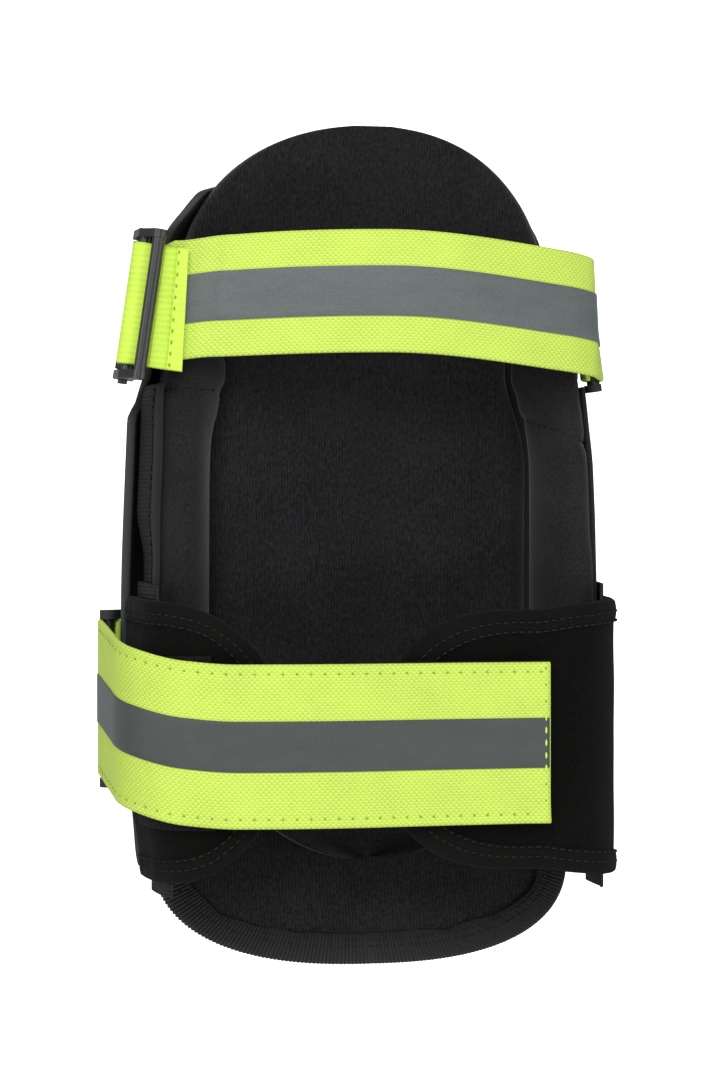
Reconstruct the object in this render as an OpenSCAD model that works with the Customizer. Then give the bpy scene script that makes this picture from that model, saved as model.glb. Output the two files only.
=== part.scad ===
// Knee pad: a moulded cap with a tread, a foam body with side rails and a soft cushion,
// two neoprene wings, a wide lower strap held by hook and loop, and a looped upper strap
// with a three-bar slide. It lies on its tread: +Z runs from the floor to the wearer's leg
// and +Y to the thigh. The origin is the middle of the tread's flat face.

/* [Body] */
// Half width of the body across its side rails
rail_half_w = 69; // [67.5:0.5:70]
// Height of the side rails above the floor
rail_top = 62; // [60:0.5:63]
// Reach of the thigh end from the origin
thigh_reach = 131.5; // [129:0.5:134]
// Reach of the shin end from the origin
shin_reach = 135; // [132:0.5:137]
// Depth of foam and cushion over the base in the middle of the well
well_depth = 20; // [19:0.5:21]
// Height of the foam body's underside above the floor
base_floor = 8; // [7.8:0.1:9]

/* [Cap] */
// Thickness of the moulded cap's wall
cap_wall = 3.5; // [3:0.1:3.5]
// Thickness of the tread insert
tread_t = 2.4; // [2:0.1:2.4]

/* [Straps] */
// Width of the upper elastic strap
upper_w = 38; // [34:1:40]
// Width of the lower elastic strap
lower_w = 50; // [46:1:52]
// Thickness of the elastic webbing
web_t = 1.6; // [1.2:0.1:1.7]
// Width of the reflective tape on both straps
tape_w = 15; // [12:1:20]

/* [Wings] */
// Thickness of the neoprene wings
wing_t = 3; // [2:0.1:3]
// Width of the folded hem round each wing
hem_w = 7.5; // [6:0.5:9]

/* [Hidden] */

gap = 0.3;              // clearance between stacked soft layers
black = "#1b1b1d";
soft_black = "#262628";
rubber_grey = "#474b4b";
hi_vis = "#c8f03c";
reflective = "#6c7270";

// ---- plain maths ----

function clamp01(t) = max(0, min(1, t));
function ease(a, b, t) = let (c = clamp01(t)) a + (b - a) * c * c * (3 - 2 * c);
function spread(a, b, n) = [for (i = [0:n]) a + (b - a) * i / n];
// Stations that crowd towards both ends, where a rounded outline turns fastest
function spread_ends(a, b, n) = [for (i = [0:n]) a + (b - a) * (1 - cos(180 * i / n)) / 2];

// A closed solid through rings of points, all with the same number of points
module loft(rings) {
    n = len(rings[0]);
    m = len(rings);
    polyhedron(
        points = [for (r = rings) each r],
        faces = concat(
            [[for (i = [n - 1:-1:0]) i]],
            [for (j = [0:m - 2]) for (i = [0:n - 1]) let (k = (i + 1) % n)
                each [[j * n + i, j * n + k, (j + 1) * n + k], [j * n + i, (j + 1) * n + k, (j + 1) * n + i]]],
            [[for (i = [0:n - 1]) (m - 1) * n + i]]
        )
    );
}

// A ring across the body at y from points [x, z] that run over the right half, outside first
function both_halves(y, half) = concat(
    [for (p = half) [p[0], y, p[1]]],
    [for (i = [len(half) - 1:-1:0]) if (half[i][0] > 0.001) [-half[i][0], y, half[i][1]]]
);

// A path in the XZ plane, as a start, a heading and arcs [length, turn]; gives [x, z, heading]
function arc_end(p, h, length, turn) = abs(turn) < 0.001
    ? [p[0] + length * cos(h), p[1] + length * sin(h), h]
    : let (r = length / (turn * PI / 180))
        [p[0] + r * (sin(h + turn) - sin(h)), p[1] + r * (cos(h) - cos(h + turn)), h + turn];
function along(path, u, i = 1) = let (seg = path[i], last = i == len(path) - 1)
    u <= seg[0] || last
        ? arc_end(path[0], path[0][2], u, seg[1] * u / seg[0])
        : along(concat([arc_end(path[0], path[0][2], seg[0], seg[1])],
            [for (k = [i + 1:len(path) - 1]) path[k]]), u - seg[0]);
function path_length(path, i = 1) = i == len(path) ? 0 : path[i][0] + path_length(path, i + 1);

// A point on a sheet that follows a path: v runs across it, off lifts it to the left of the heading
function sheet_point(path, u, mid_y, v, lean, off) = let (p = along(path, u))
    [p[0] - off * sin(p[2]) + v * sin(lean), mid_y + v * cos(lean), p[1] + off * cos(p[2])];

// A flat strap along a path from u0 to u1, between two offsets from the path's line
module strap(path, u0, u1, n, width, low, high, mid, lean = [[0, 0]]) {
    loft([for (u = spread(u0, u1, n)) let (y = lookup(u, mid), a = lookup(u, lean), w = width / 2) [
        sheet_point(path, u, y, -w, a, low), sheet_point(path, u, y, -w, a, high),
        sheet_point(path, u, y, w, a, high), sheet_point(path, u, y, w, a, low)
    ]]);
}

// ---- the body's surfaces ----

thigh_mid = 74;         // where the thigh end's elliptical outline starts
thigh_half_w = 66;
shin_mid = -100;        // where the shin end's outline starts to close
shin_half_w = 68;
waist = -30;            // where the body is widest
// How far the walls lean out from the rail tops to the cap's rim: least beside the wings
// The right wall leans out less than the left
right_flare = 0.35;
function flare(y) = lookup(y, [[-8, 1.6], [10, 4.5], [40, 4.5], [54, 1.5], [70, 0]]);

function half_w(y) =
    y > thigh_mid ? thigh_half_w * sqrt(max(0, 1 - pow((y - thigh_mid) / (thigh_reach - thigh_mid), 2)))
    : y < shin_mid ? shin_half_w * pow(max(0, 1 - pow((shin_mid - y) / (shin_reach + shin_mid), 2.5)), 0.4)
    : y > waist ? ease(rail_half_w, thigh_half_w, (y - waist) / (thigh_mid - waist))
    : ease(rail_half_w, shin_half_w, (waist - y) / (waist - shin_mid));
// The underside is flat in the middle and curls up to the thigh and the shin
function base_z(y) = base_floor
    + (y > 45 ? 0.0036 * pow(y - 45, 2) : y < -50 ? 0.0032 * pow(y + 50, 2) : 0);
function well_z(y) = base_z(y) + ease(well_depth, 13, (y - 60) / 70);
function ledge_z(y) = ease(well_z(y) + 10, base_z(y) + 13.3, (-55 - y) / 15);
function rail_z(y) = lookup(y, [[-96, base_z(-96) + 15], [-86, 47], [-76, 56], [-62, rail_top - 1],
    [-52, rail_top], [22, rail_top], [38, 58], [55, 53], [66, 50], [78, 46.5]]);
function rail_in(y) = lookup(y, [[-60, 50.5], [25, 50.5], [35, 48.8], [55, 43.8], [78, 43.8]]);
function rim_level(y) = base_z(y) + 26;
// Outer face of the body's wall at height z, with its flare scaled by k
function wall_x(y, z, k = 1) = let (top = max(rail_z(y), ledge_z(y) + 4))
    half_w(y) + k * flare(y) * clamp01((top - z) / max(6, top - rim_level(y)));

// ---- cap, tread and base ----

function cap_bottom(y) = base_z(y) - 2 - cap_wall;
function cap_half_w(y) = half_w(y) + lookup(y, [[-119, -24], [-112, -9], [-108, 0], [-104, 4.5],
    [-88, 6], [-70, 9.8], [38, 10.2], [45, 7], [52, 4.8], [98, 4.4], [105, 4], [110, 3.9], [113, 1], [119, -24]]);
function rim_z(y) = base_z(y) + lookup(y, [[-119, -1], [-108, -1], [-104, 4], [-95, 6.3], [-88, 9],
    [-78, 22], [-70, 26], [38, 26], [43, 23], [48, 19], [54, 24], [92, 21], [98, 21], [105, 18], [110, 14],
    [113, 4], [115, -1], [119, -1]]);

module cap_shell() {
    color(rubber_grey) difference() {
        cap_wall_solid();
        at_all_rivets() along_x(rivet_hole_r, -10, 0);
    }
}

module cap_wall_solid() {
    loft([for (y = spread_ends(-119, 119, 44))
        let (c = cap_half_w(y), b = cap_bottom(y), r = max(rim_z(y), b + cap_wall + 1), h = r - b, t = cap_wall)
        both_halves(y, [
            [0.58 * c, b + t], [0.84 * c - t * 0.7, b + max(1.05 * t, t * 0.6 + 0.22 * h)],
            [0.96 * c - t, b + max(1.15 * t, 0.52 * h)], [c - 0.9 * t, r],
            [c, r], [0.97 * c, b + 0.5 * h], [0.86 * c, b + 0.18 * h], [0.6 * c, b]
        ])]);
}

tread_half_w = 38;
tread_half_l = 48;
groove = 2.4;           // width of the tread's grooves

module tread_outline() {
    hull() for (x = [-1, 1], y = [-1, 1])
        translate([x * (tread_half_w - 18), y * (tread_half_l - 18)]) circle(r = 18, $fn = 48);
}

module tread_insert() {
    color(black) difference() {
        linear_extrude(tread_t) tread_outline();
        for (side = [-1, 1], k = [0:3])
            translate([0, side * (13 + 9 * k), -1]) rotate(0)
                for (lean = [-1, 1])
                    rotate(lean * side * 14)
                        translate([lean > 0 ? 0 : -60, -groove / 2, 0]) cube([60, groove, 1 + 1.2]);
    }
}

// A stiffening board that follows the underside of the foam
module base_plate() {
    half = 36;
    top = [for (y = spread(-80, 84, 20)) [y, base_z(y) - gap]];
    under = [for (y = spread(84, -80, 20)) [y, base_z(y) - 1.7]];
    color("dimgray") translate([-half, 0, 0]) rotate([90, 0, 90])
        linear_extrude(2 * half) polygon(concat(under, top));
}

// ---- foam, gel, cushion ----

// Underside of the cushion at a share s of its half width
function cushion_under(y, s) = well_z(y) + lookup(s, [[0, -6.6], [0.55, -6.6], [0.8, -2.6], [1, 1.6]]);
// Its top is a shallow trough that levels out and drops a little towards the thigh end
function trough(s) = lookup(s, [[0, 0], [0.5, 1.5], [0.8, 5], [0.93, 7], [1, 5.5]]);
function cushion_top(y, s) = well_z(y) + ease(trough(s), 3, (y - 85) / 35) - ease(0, 4, (y - 96) / 34);
function cushion_half_w(y) = y < -52
    ? (rail_in(y) - 0.5) * sqrt(max(0.0004, 1 - pow((-52 - y) / 50, 2)))
    : y < 78 ? rail_in(y) - 0.5
    : min(half_w(y) - 1.5, ease(rail_in(78) - 0.5, half_w(y) - 1.5, (y - 78) / 10));

gel_r = 26;
gel_half_l = 18;        // half the straight length of the gel insert
gel_floor = base_floor + 5;

module stadium(r, half_l) {
    square([2 * r, 2 * half_l], center = true);
    for (s = [-1, 1]) translate([0, s * half_l]) circle(r = r, $fn = 64);
}

module foam_core() {
    step_y = -70;       // the foam drops here to carry the shin panel
    color("darkslategray") difference() {
        loft([for (y = concat(spread(-106, step_y - 0.5, 6), spread_ends(step_y + 0.5, thigh_reach - 4, 24)))
            let (w = half_w(y), z = base_z(y), c = min(cushion_half_w(y), y > 84 ? w - 8 : w), shin = y < step_y,
                ledge = shin ? z + 7.6 : y > 84 ? cushion_under(y, 0) - 3 * gap : y > 78 ? well_z(y) + 1 : ledge_z(y),
                edge = y > 84 ? z + 9 : z + 20,
                side = y > 84 ? w - 9 : y < -97 ? w - 11 : y < -69 ? w - 4.5 : wall_x(y, z + 20, right_flare) - 1,
                drop = y > 40 ? 6 * gap : gap)
            both_halves(y, [
                [0, shin || y > 84 ? ledge : cushion_under(y, 0) - drop],
                [0.55 * c, shin || y > 84 ? ledge : cushion_under(y, 0.55) - drop],
                [0.8 * c, shin || y > 84 ? ledge : cushion_under(y, 0.8) - drop],
                [c + 0.2, shin ? ledge : min(ledge, cushion_under(y, 1) - drop)],
                [max(c + 1, min(side, c + 1.2)), ledge],
                [max(c + 1.4, side), ledge],
                [max(c + 1.5, side + 0.1), shin ? z + 6.8 : min(ledge - 0.5, edge)],
                [0.8 * w, z + (shin ? 5 : y > 84 ? 6 : 7)], [0.55 * w, z], [0, z]
            ])]);
        translate([0, 0, gel_floor]) linear_extrude(40) stadium(gel_r + gap, gel_half_l);
        at_all_rivets() along_x(4.4, -11.4, 0);
    }
}

module gel_insert() {
    color("lightskyblue") translate([0, 0, gel_floor + gap])
        linear_extrude(well_z(0) - 6.6 - gap - gel_floor - gap) stadium(gel_r, gel_half_l);
}

module knee_cushion() {
    color(black) loft([for (y = concat(spread_ends(-101.9, -20, 14), spread_ends(-14, thigh_reach - 1.6, 22)))
        let (c = cushion_half_w(y))
        both_halves(y, [
            [0, cushion_top(y, 0)], [0.5 * c, cushion_top(y, 0.5)],
            [0.8 * c, cushion_top(y, 0.8)], [0.93 * c, cushion_top(y, 0.93)],
            [c, cushion_top(y, 1)], [c, cushion_under(y, 1) + 0.2],
            [0.8 * c, cushion_under(y, 0.8)], [0.55 * c, cushion_under(y, 0.55)], [0, cushion_under(y, 0)]
        ])]);
}

// ---- shin panel and its bound edge ----

shin_inset = 1.6;       // how far the panel's edge lies inside the binding
function shin_top(y) = base_z(y) + 13;
function shin_under(y) = base_z(y) + 8;

// The panel's half width at y: the shin end's outline, inset all round
function shin_panel_w(y) = y > shin_mid ? half_w(y) - shin_inset : (shin_half_w - shin_inset)
    * pow(max(0.000001, 1 - pow((shin_mid - y) / (shin_reach + shin_mid - shin_inset), 2.5)), 0.4);

module shin_panel() {
    reach = shin_reach + shin_mid - shin_inset;
    color(black) loft([for (y = concat(spread(-70.5, -97, 6), [for (a = [0:6:84]) shin_mid - reach * sin(a)]))
        let (w = shin_panel_w(y))
        both_halves(y, [[w, shin_top(y)], [w, shin_under(y)]])]);
}

bind_w = 9;             // how far the binding tape reaches over the panel
bind_t = 1;
// The shin end's outline, a the way round it from the right side (0) to the left (180), inset by d
function shin_edge(a, d) = let (c = cos(a), s = sin(a), k = 0.8)
    [(shin_half_w - d) * sign(c) * pow(abs(c), k), shin_mid - (shin_reach + shin_mid - d) * pow(abs(s), k)];

module edge_binding() {
    // The last two columns are heights above and below the panel's faces
    hoop = [[bind_w, gap, 1], [bind_w, gap + bind_t, 1], [0, gap + bind_t, 1], [0, -gap - bind_t, 0],
        [bind_w, -gap - bind_t, 0], [bind_w, -gap, 0], [shin_inset - gap, -gap, 0], [shin_inset - gap, gap, 1]];
    color(soft_black) loft([for (a = spread(3, 177, 44)) [for (k = hoop)
        let (outer = shin_edge(a, 0), p = shin_edge(a, k[0]))
        [p[0], p[1], (k[2] ? shin_top(outer[1]) : shin_under(outer[1])) + k[1]
            + (p[1] > outer[1] ? shin_top(p[1]) - shin_top(outer[1]) : 0)]]]);
}

// ---- rails and the side walls' covers ----

function rail_ring(y, k) = let (w = half_w(y), t = rail_z(y), f = ledge_z(y) + gap, i = rail_in(y), h = t - f,
    foot = wall_x(y, f, k) - 0.2) [
    [foot, y, f], [w, y, t - min(4, 0.4 * h)], [w - 1.5, y, t - min(1, 0.1 * h)], [w - 4.5, y, t],
    [w - 9, y, t - min(0.6, 0.1 * h)], [max(i + 3, w - 12), y, t - min(4, 0.4 * h)],
    [i + 2, y, f + 0.38 * h], [i, y, f]
];
rail_stations = concat(spread(-94, -50, 7), spread(-40, 18, 4), spread(24, 62, 7));

module right_rail() {
    color(soft_black) loft([for (y = rail_stations) rail_ring(y, right_flare)]);
}

module left_rail() {
    color(soft_black) mirror([1, 0, 0]) loft([for (y = rail_stations) rail_ring(y, 1)]);
}

cover_t = 1.2;
seam_drop = 12;         // height of the smooth band between the woven cover and the rail's top
function seam_z(y) = rail_z(y) - seam_drop * (rail_z(y) - ledge_z(y)) / 24;
function wall_strip(y, z0, z1, k) = let (a = wall_x(y, z0, k) + 0.2, b = wall_x(y, z1, k) + 0.2)
    [[a, y, z0], [a + cover_t, y, z0], [b + cover_t, y, z1], [b, y, z1]];
cover_stations = concat(spread(-94, -50, 6), spread(-34, 18, 4), spread(26, 49, 4));

module side_cover(k) {
    color(black) loft([for (y = cover_stations) wall_strip(y, rim_z(y) + 0.4, seam_z(y) - 0.4, k)]);
}

module side_band(k) {
    color(soft_black) loft([for (y = cover_stations)
        wall_strip(y, seam_z(y), rail_z(y) - 4 * (rail_z(y) - ledge_z(y)) / 24, k)]);
}

module right_side_cover() { side_cover(right_flare); }
module left_side_cover() { mirror([1, 0, 0]) side_cover(1); }
module right_side_band() { side_band(right_flare); }
module left_side_band() { mirror([1, 0, 0]) side_band(1); }

// ---- wings ----

wing_x = rail_half_w + 6.6;     // hinge line of both wings, just above the cap's rim
wing_z = 38;
wing_mid = -62;         // y of the wings' middle
wing_line = [[wing_x, wing_z, 92], [20, 4], [24, 84], [62, -4]];
wing_root = 1.2;        // the wing starts this far from its hinge line
right_tip = 105;        // length of each wing from its hinge line
left_tip = 68;
right_round = 62;       // where each wing's outline starts to round off
left_round = 30;

// Half height of a wing at u from its hinge line, where it runs from round_at to a rounded tip
function wing_half_h(u, tip, round_at) = lookup(u, [[0, 44], [28, 43], [44, 41.5], [56, 40]])
    * (u < round_at ? 1 : pow(max(0.0003, 1 - pow((u - round_at) / (tip - round_at), 2.4)), 1 / 2.4));
function wing_stations(tip, round_at, from) = concat(spread(from, round_at, 26),
    [for (k = [1:14]) round_at + (tip - round_at) * sin(90 * k / 14)]);

// A sheet on the wing's line, between two offsets; the inner side is positive
module wing(tip, round_at, low, high) {
    loft([for (u = wing_stations(tip, round_at, wing_root)) let (h = max(0.4, wing_half_h(u, tip, round_at))) [
        sheet_point(wing_line, u, wing_mid, -h, 0, low), sheet_point(wing_line, u, wing_mid, h, 0, low),
        sheet_point(wing_line, u, wing_mid, h, 0, high), sheet_point(wing_line, u, wing_mid, -h, 0, high)
    ]]);
}

hem_t = 0.8;
hem_low = -wing_t / 2 - 0.1 - hem_t;    // the hem lies on the wing's outer face
hem_high = -wing_t / 2 - 0.1;

// One hem section at share a of the way round: outer edge, then the inner edge hem_w inside it
function hem_section(u, v, iu, iv) = [
    sheet_point(wing_line, u, wing_mid, v, 0, hem_low), sheet_point(wing_line, iu, wing_mid, iv, 0, hem_low),
    sheet_point(wing_line, iu, wing_mid, iv, 0, hem_high), sheet_point(wing_line, u, wing_mid, v, 0, hem_high)
];

module wing_hem(tip, round_at) {
    half = concat(
        [for (u = spread(2, round_at, 26)) let (h = wing_half_h(u, tip, round_at)) [u, h, u, h - hem_w]],
        [for (k = [1:18]) let (a = 5 * k, u = round_at + (tip - round_at) * sin(a),
            iu = round_at + (tip - hem_w - round_at) * sin(a), h = wing_half_h(u, tip, round_at),
            ih = wing_half_h(round_at, tip, round_at) - hem_w) [u, h, iu, ih * pow(max(0, cos(a)), 2 / 2.4)]]
    );
    n = len(half);
    loft(concat(
        [for (k = [0:n - 1]) hem_section(half[k][0], half[k][1], half[k][2], half[k][3])],
        [for (k = [n - 2:-1:0]) hem_section(half[k][0], -half[k][1], half[k][2], -half[k][3])]
    ));
}

// A nylon corner gusset behind the wing's root, a little taller than the wing
module gusset() {
    low = wing_t / 2 + 0.2;
    high = low + 0.8;
    loft([for (u = spread(2, 26, 8)) let (h = wing_half_h(u, 200, 200) + 4) [
        sheet_point(wing_line, u, wing_mid, -h, 0, low), sheet_point(wing_line, u, wing_mid, h, 0, low),
        sheet_point(wing_line, u, wing_mid, h, 0, high), sheet_point(wing_line, u, wing_mid, -h, 0, high)
    ]]);
}

module right_wing() { color(black) wing(right_tip, right_round, -wing_t / 2, wing_t / 2); }
module left_wing() { color(black) mirror([1, 0, 0]) wing(left_tip, left_round, -wing_t / 2, wing_t / 2); }
module right_wing_hem() { color(soft_black) wing_hem(right_tip, right_round); }
module left_wing_hem() { color(soft_black) mirror([1, 0, 0]) wing_hem(left_tip, left_round); }
module right_gusset() { color("#101012") gusset(); }
module left_gusset() { color("#101012") mirror([1, 0, 0]) gusset(); }

patch_low = -wing_t / 2 - 0.1 - 0.8;    // loop patches lie on the wings' outer faces
patch_high = -wing_t / 2 - 0.1;

module right_loop_panel() {
    color("#17171a") strap(wing_line, 60, right_tip - 15, 14, 44, patch_low, patch_high, [[0, wing_mid]]);
}

module left_loop_patch() {
    color("#17171a") mirror([1, 0, 0])
        strap(wing_line, 10, left_tip - 22, 20, 53, patch_low, patch_high, [[0, wing_mid]]);
}

// ---- lower strap: a sewn loop on a bar, then up and over both wings ----

bar_r = 1.8;
loop_r = bar_r + gap + web_t / 2;       // a strap's centre line round a bar
low_bar = [-81, -51, 18];               // middle of the lower strap's bar
lower_line = [[low_bar[0] + loop_r, low_bar[2] + 1, -90], [1, 0], [loop_r * PI, -180], [37, -4],
    [30, -70], [62, -22], [53, 5]];
lower_end = path_length(lower_line);
lower_mid = [[0, -51], [40, -51.5], [55, -54.5], [75, -60.5], [92, -62.7], [lower_end, -62.7]];

module lower_strap() {
    color(hi_vis) strap(lower_line, 0, lower_end, 64, lower_w, -web_t / 2, web_t / 2, lower_mid);
}

module lower_strap_tape() {
    color(reflective) strap(lower_line, 12, lower_end - 1, 50, tape_w, web_t / 2 + 0.1, web_t / 2 + 0.35, lower_mid);
}

module lower_strap_hook() {
    color("#101012") strap(lower_line, lower_end - 62, lower_end - 2, 14, lower_w - 3, -web_t / 2 - 0.9,
        -web_t / 2 - 0.1, lower_mid);
}

// ---- upper strap and its slide ----

slant = -8.3;           // the thigh end narrows, so its straps' bars lean by this much
slide_at = [-73.2, 72.5, 62];
near_r = 2;             // the slide's inner bar
pin_r = 1.5;            // the pin that the slide tilts on
slide_half = upper_w / 2 + 1.5;
drop = -5.3;            // the strap passes this far under the inner bar
wrap_line = [[2.2, drop, 180], [0.4, 0], [3.2, 72], [loop_r * 252 * PI / 180, -252], [5.8, 0]];
// The outer bar is the middle of the wrap
wrap_from = along(wrap_line, 3.6);
far_bar = [wrap_from[0] + loop_r * sin(wrap_from[2]), 0, wrap_from[1] - loop_r * cos(wrap_from[2])];
pin_at = [far_bar[0], 0, far_bar[2] - 8.2];
wrap_end = along(wrap_line, path_length(wrap_line));
tail_line = [[wrap_end[0] + 0.4, wrap_end[1], 0], [8.6, 12]];

module at_slide() { translate(slide_at) rotate([0, 0, slant]) children(); }
module bar_y(r, length) { rotate([90, 0, 0]) cylinder(r = r, h = length, center = true, $fn = 48); }

module strap_slide() {
    color("#1c1d1c") at_slide() {
        bar_y(near_r, 2 * slide_half + 1);
        translate(far_bar) bar_y(bar_r, 2 * slide_half + 1);
        for (side = [-1, 1]) translate([0, side * (slide_half + 1.5), 0]) difference() {
            union() {
                hull() {
                    bar_y(near_r + 0.4, 2.6);
                    translate(far_bar) bar_y(bar_r + 0.8, 2.6);
                }
                hull() {
                    translate(far_bar) bar_y(bar_r + 0.8, 2.6);
                    translate(pin_at) bar_y(3.2, 2.6);
                }
            }
            translate(pin_at) bar_y(pin_r + 0.06, 4);
        }
    }
}

module slide_pin() {
    color("silver") at_slide() translate(pin_at) bar_y(pin_r, 2 * slide_half + 8);
}

module strap_return() {
    color(hi_vis) at_slide() strap(wrap_line, 0, path_length(wrap_line), 30, upper_w, -web_t / 2, web_t / 2, [[0, 0]]);
}

module strap_tail() {
    color(hi_vis) at_slide() strap(tail_line, 0, path_length(tail_line), 6, upper_w, -web_t / 2, web_t / 2, [[0, 0]]);
}

module tail_hem() {
    color(hi_vis) at_slide() strap(tail_line, path_length(tail_line) - 4, path_length(tail_line), 3, upper_w,
        web_t / 2 + 0.05, 1.4 * web_t, [[0, 0]]);
}

upper_start = [slide_at[0] + 5.8, slide_at[2] + drop, 4];
upper_line = [upper_start, [12, 8], [13, 13], [103, -44], [10, -16], [6, -40], [16, -2],
    [loop_r * 200 * PI / 180, -200], [4, 0]];
// The sewn loop's bar is the middle of the last turn
loop_from = along(upper_line, 160);
up_bar = [loop_from[0] + loop_r * sin(loop_from[2]), 70, loop_from[1] - loop_r * cos(loop_from[2])];
upper_mid = [[0, 74.2], [16, 75.6], [70, 76.8], [128, 72], [150, 70], [200, 70]];
upper_lean = [[0, -slant], [40, 0], [118, 0], [148, slant], [200, slant]];
upper_end = path_length(upper_line);

module upper_strap() {
    color(hi_vis) strap(upper_line, 0, upper_end, 70, upper_w, -web_t / 2, web_t / 2, upper_mid,
        upper_lean);
}

module upper_strap_tape() {
    color(reflective) strap(upper_line, 9, upper_end - 12, 50, tape_w, web_t / 2 + 0.2, web_t / 2 + 0.45, upper_mid,
        upper_lean);
}

// ---- lugs that hold the straps' bars, with their rivets ----

lug_t = 2.5;
lug_foot = 19;          // height of the upper lugs' feet above the floor
right_lug_x = 71.6;     // the right lug's inner face
lug_in = -1.6;          // how far the left lug's inner face lies inboard of the slide's inner bar
rivet_r = 2;
rivet_hole_r = 2.2;
washer_t = 1;
// Each lug's own frame has its plate's inner face at x = 0, its foot at z = 0, and +x outward
module at_upper_left() { at_slide() translate([-lug_in, 0, lug_foot - slide_at[2]]) mirror([1, 0, 0]) children(); }
module at_upper_right() {
    translate([right_lug_x, up_bar[1], lug_foot]) rotate([0, 0, -slant]) children();
}
module at_lower_left() {
    mirror([1, 0, 0]) translate([low_foot[0], low_bar[1], low_foot[1]]) rotate([0, low_lean, 0]) children();
}
module along_x(r, from, to, fn = 32) { translate([from, 0, 0]) rotate([0, 90, 0]) cylinder(r = r, h = to - from, $fn = fn); }

// The two rivets of a lug: y is their distance either side of the middle, z their height
module at_rivets(y, z) { for (side = [-1, 1]) translate([0, side * y, z]) children(); }
module at_upper_rivets() { at_rivets(9, 6) children(); }
module at_lower_rivets() { at_rivets(14, 4.5) children(); }
module at_all_rivets() {
    at_upper_left() at_upper_rivets() children();
    at_upper_right() at_upper_rivets() children();
    at_lower_left() at_lower_rivets() translate([0.6, 0, 0]) children();
}

module upper_plate() {
    difference() {
        union() {
            translate([0, -14, 0]) cube([lug_t, 28, 18]);
            translate([0, -22, 16.5]) cube([lug_t, 44, 2.5]);
        }
        at_upper_rivets() along_x(rivet_hole_r, -1, lug_t + 1);
    }
}

// A cheek from the plate's crossbar up to a bar's end
module cheek(bar, y, thickness, r) {
    hull() {
        translate([bar[0], y, bar[1]]) bar_y(r, thickness);
        translate([0, y - thickness / 2, 16.5]) cube([lug_t, thickness, 2.5]);
    }
}

module upper_left_lug() {
    pin = [-lug_in - pin_at[0], pin_at[2] + slide_at[2] - lug_foot];
    color(rubber_grey) at_upper_left() {
        upper_plate();
        difference() {
            cheek(pin, 0, 2 * slide_half - 1, 2.9);
            translate([pin[0], 0, pin[1]]) bar_y(pin_r + 0.06, 60);
        }
    }
}

module upper_right_lug() {
    bar = [(up_bar[0] - right_lug_x) * cos(slant), up_bar[2] - lug_foot];
    color(rubber_grey) at_upper_right() {
        upper_plate();
        for (side = [-1, 1]) difference() {
            cheek(bar, side * (upper_w / 2 + 2), 2.4, bar_r + 1);
            translate([bar[0], 0, bar[1]]) bar_y(bar_r + 0.05, 80);
        }
    }
}

low_foot = [67.9, 7.9];  // the lower lug's foot, and how far its plate leans with the cap's wall
low_lean = 41.7;

module lower_left_lug() {
    out = -low_bar[0] - low_foot[0];
    up = low_bar[2] - low_foot[1];
    bar = [out * cos(low_lean) - up * sin(low_lean), out * sin(low_lean) + up * cos(low_lean)];
    half = lower_w / 2 + 2;
    color(rubber_grey) at_lower_left() difference() {
        union() {
            translate([0, -half - 1.5, 0]) cube([lug_t, 2 * half + 3, 9]);
            for (side = [-1, 1]) hull() {
                translate([bar[0], side * half, bar[1]]) bar_y(bar_r + 1.2, 3);
                translate([0, side * half - 1.5, 0]) cube([lug_t, 3, 9]);
            }
        }
        translate([bar[0], 0, bar[1]]) bar_y(bar_r + 0.05, 80);
        at_lower_rivets() along_x(rivet_hole_r, -1, lug_t + 1);
    }
}

module upper_right_bar() { color("silver") translate(up_bar) rotate([0, 0, -slant]) bar_y(bar_r, upper_w + 6.4); }
module lower_left_bar() { color("silver") translate(low_bar) bar_y(bar_r, lower_w + 7); }

module lug_rivets() {
    color("silver") at_all_rivets() {
        along_x(rivet_r, -10, lug_t);
        along_x(3.6, lug_t, lug_t + 1.4);
        along_x(3, -10.2, -9.1);
    }
}

module rivet_washers() {
    color("gainsboro") at_all_rivets() difference() {
        along_x(3.8, -8 - washer_t, -8);
        along_x(rivet_hole_r, -10, -7);
    }
}

tread_insert();
cap_shell();
base_plate();
foam_core();
gel_insert();
knee_cushion();
shin_panel();
edge_binding();
left_rail();
right_rail();
left_side_cover();
right_side_cover();
left_side_band();
right_side_band();
left_gusset();
right_gusset();
upper_left_lug();
upper_right_lug();
lower_left_lug();
slide_pin();
upper_right_bar();
lower_left_bar();
lug_rivets();
rivet_washers();
left_wing();
left_wing_hem();
left_loop_patch();
right_wing();
right_wing_hem();
right_loop_panel();
lower_strap();
lower_strap_tape();
lower_strap_hook();
upper_strap();
upper_strap_tape();
strap_slide();
strap_return();
strap_tail();
tail_hem();
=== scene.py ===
from bisect import bisect_right
from math import cos, exp, hypot, pi, radians, sin, sqrt

import bmesh
import bpy
from mathutils import Matrix, Vector, noise
from mathutils.bvhtree import BVHTree


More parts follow.
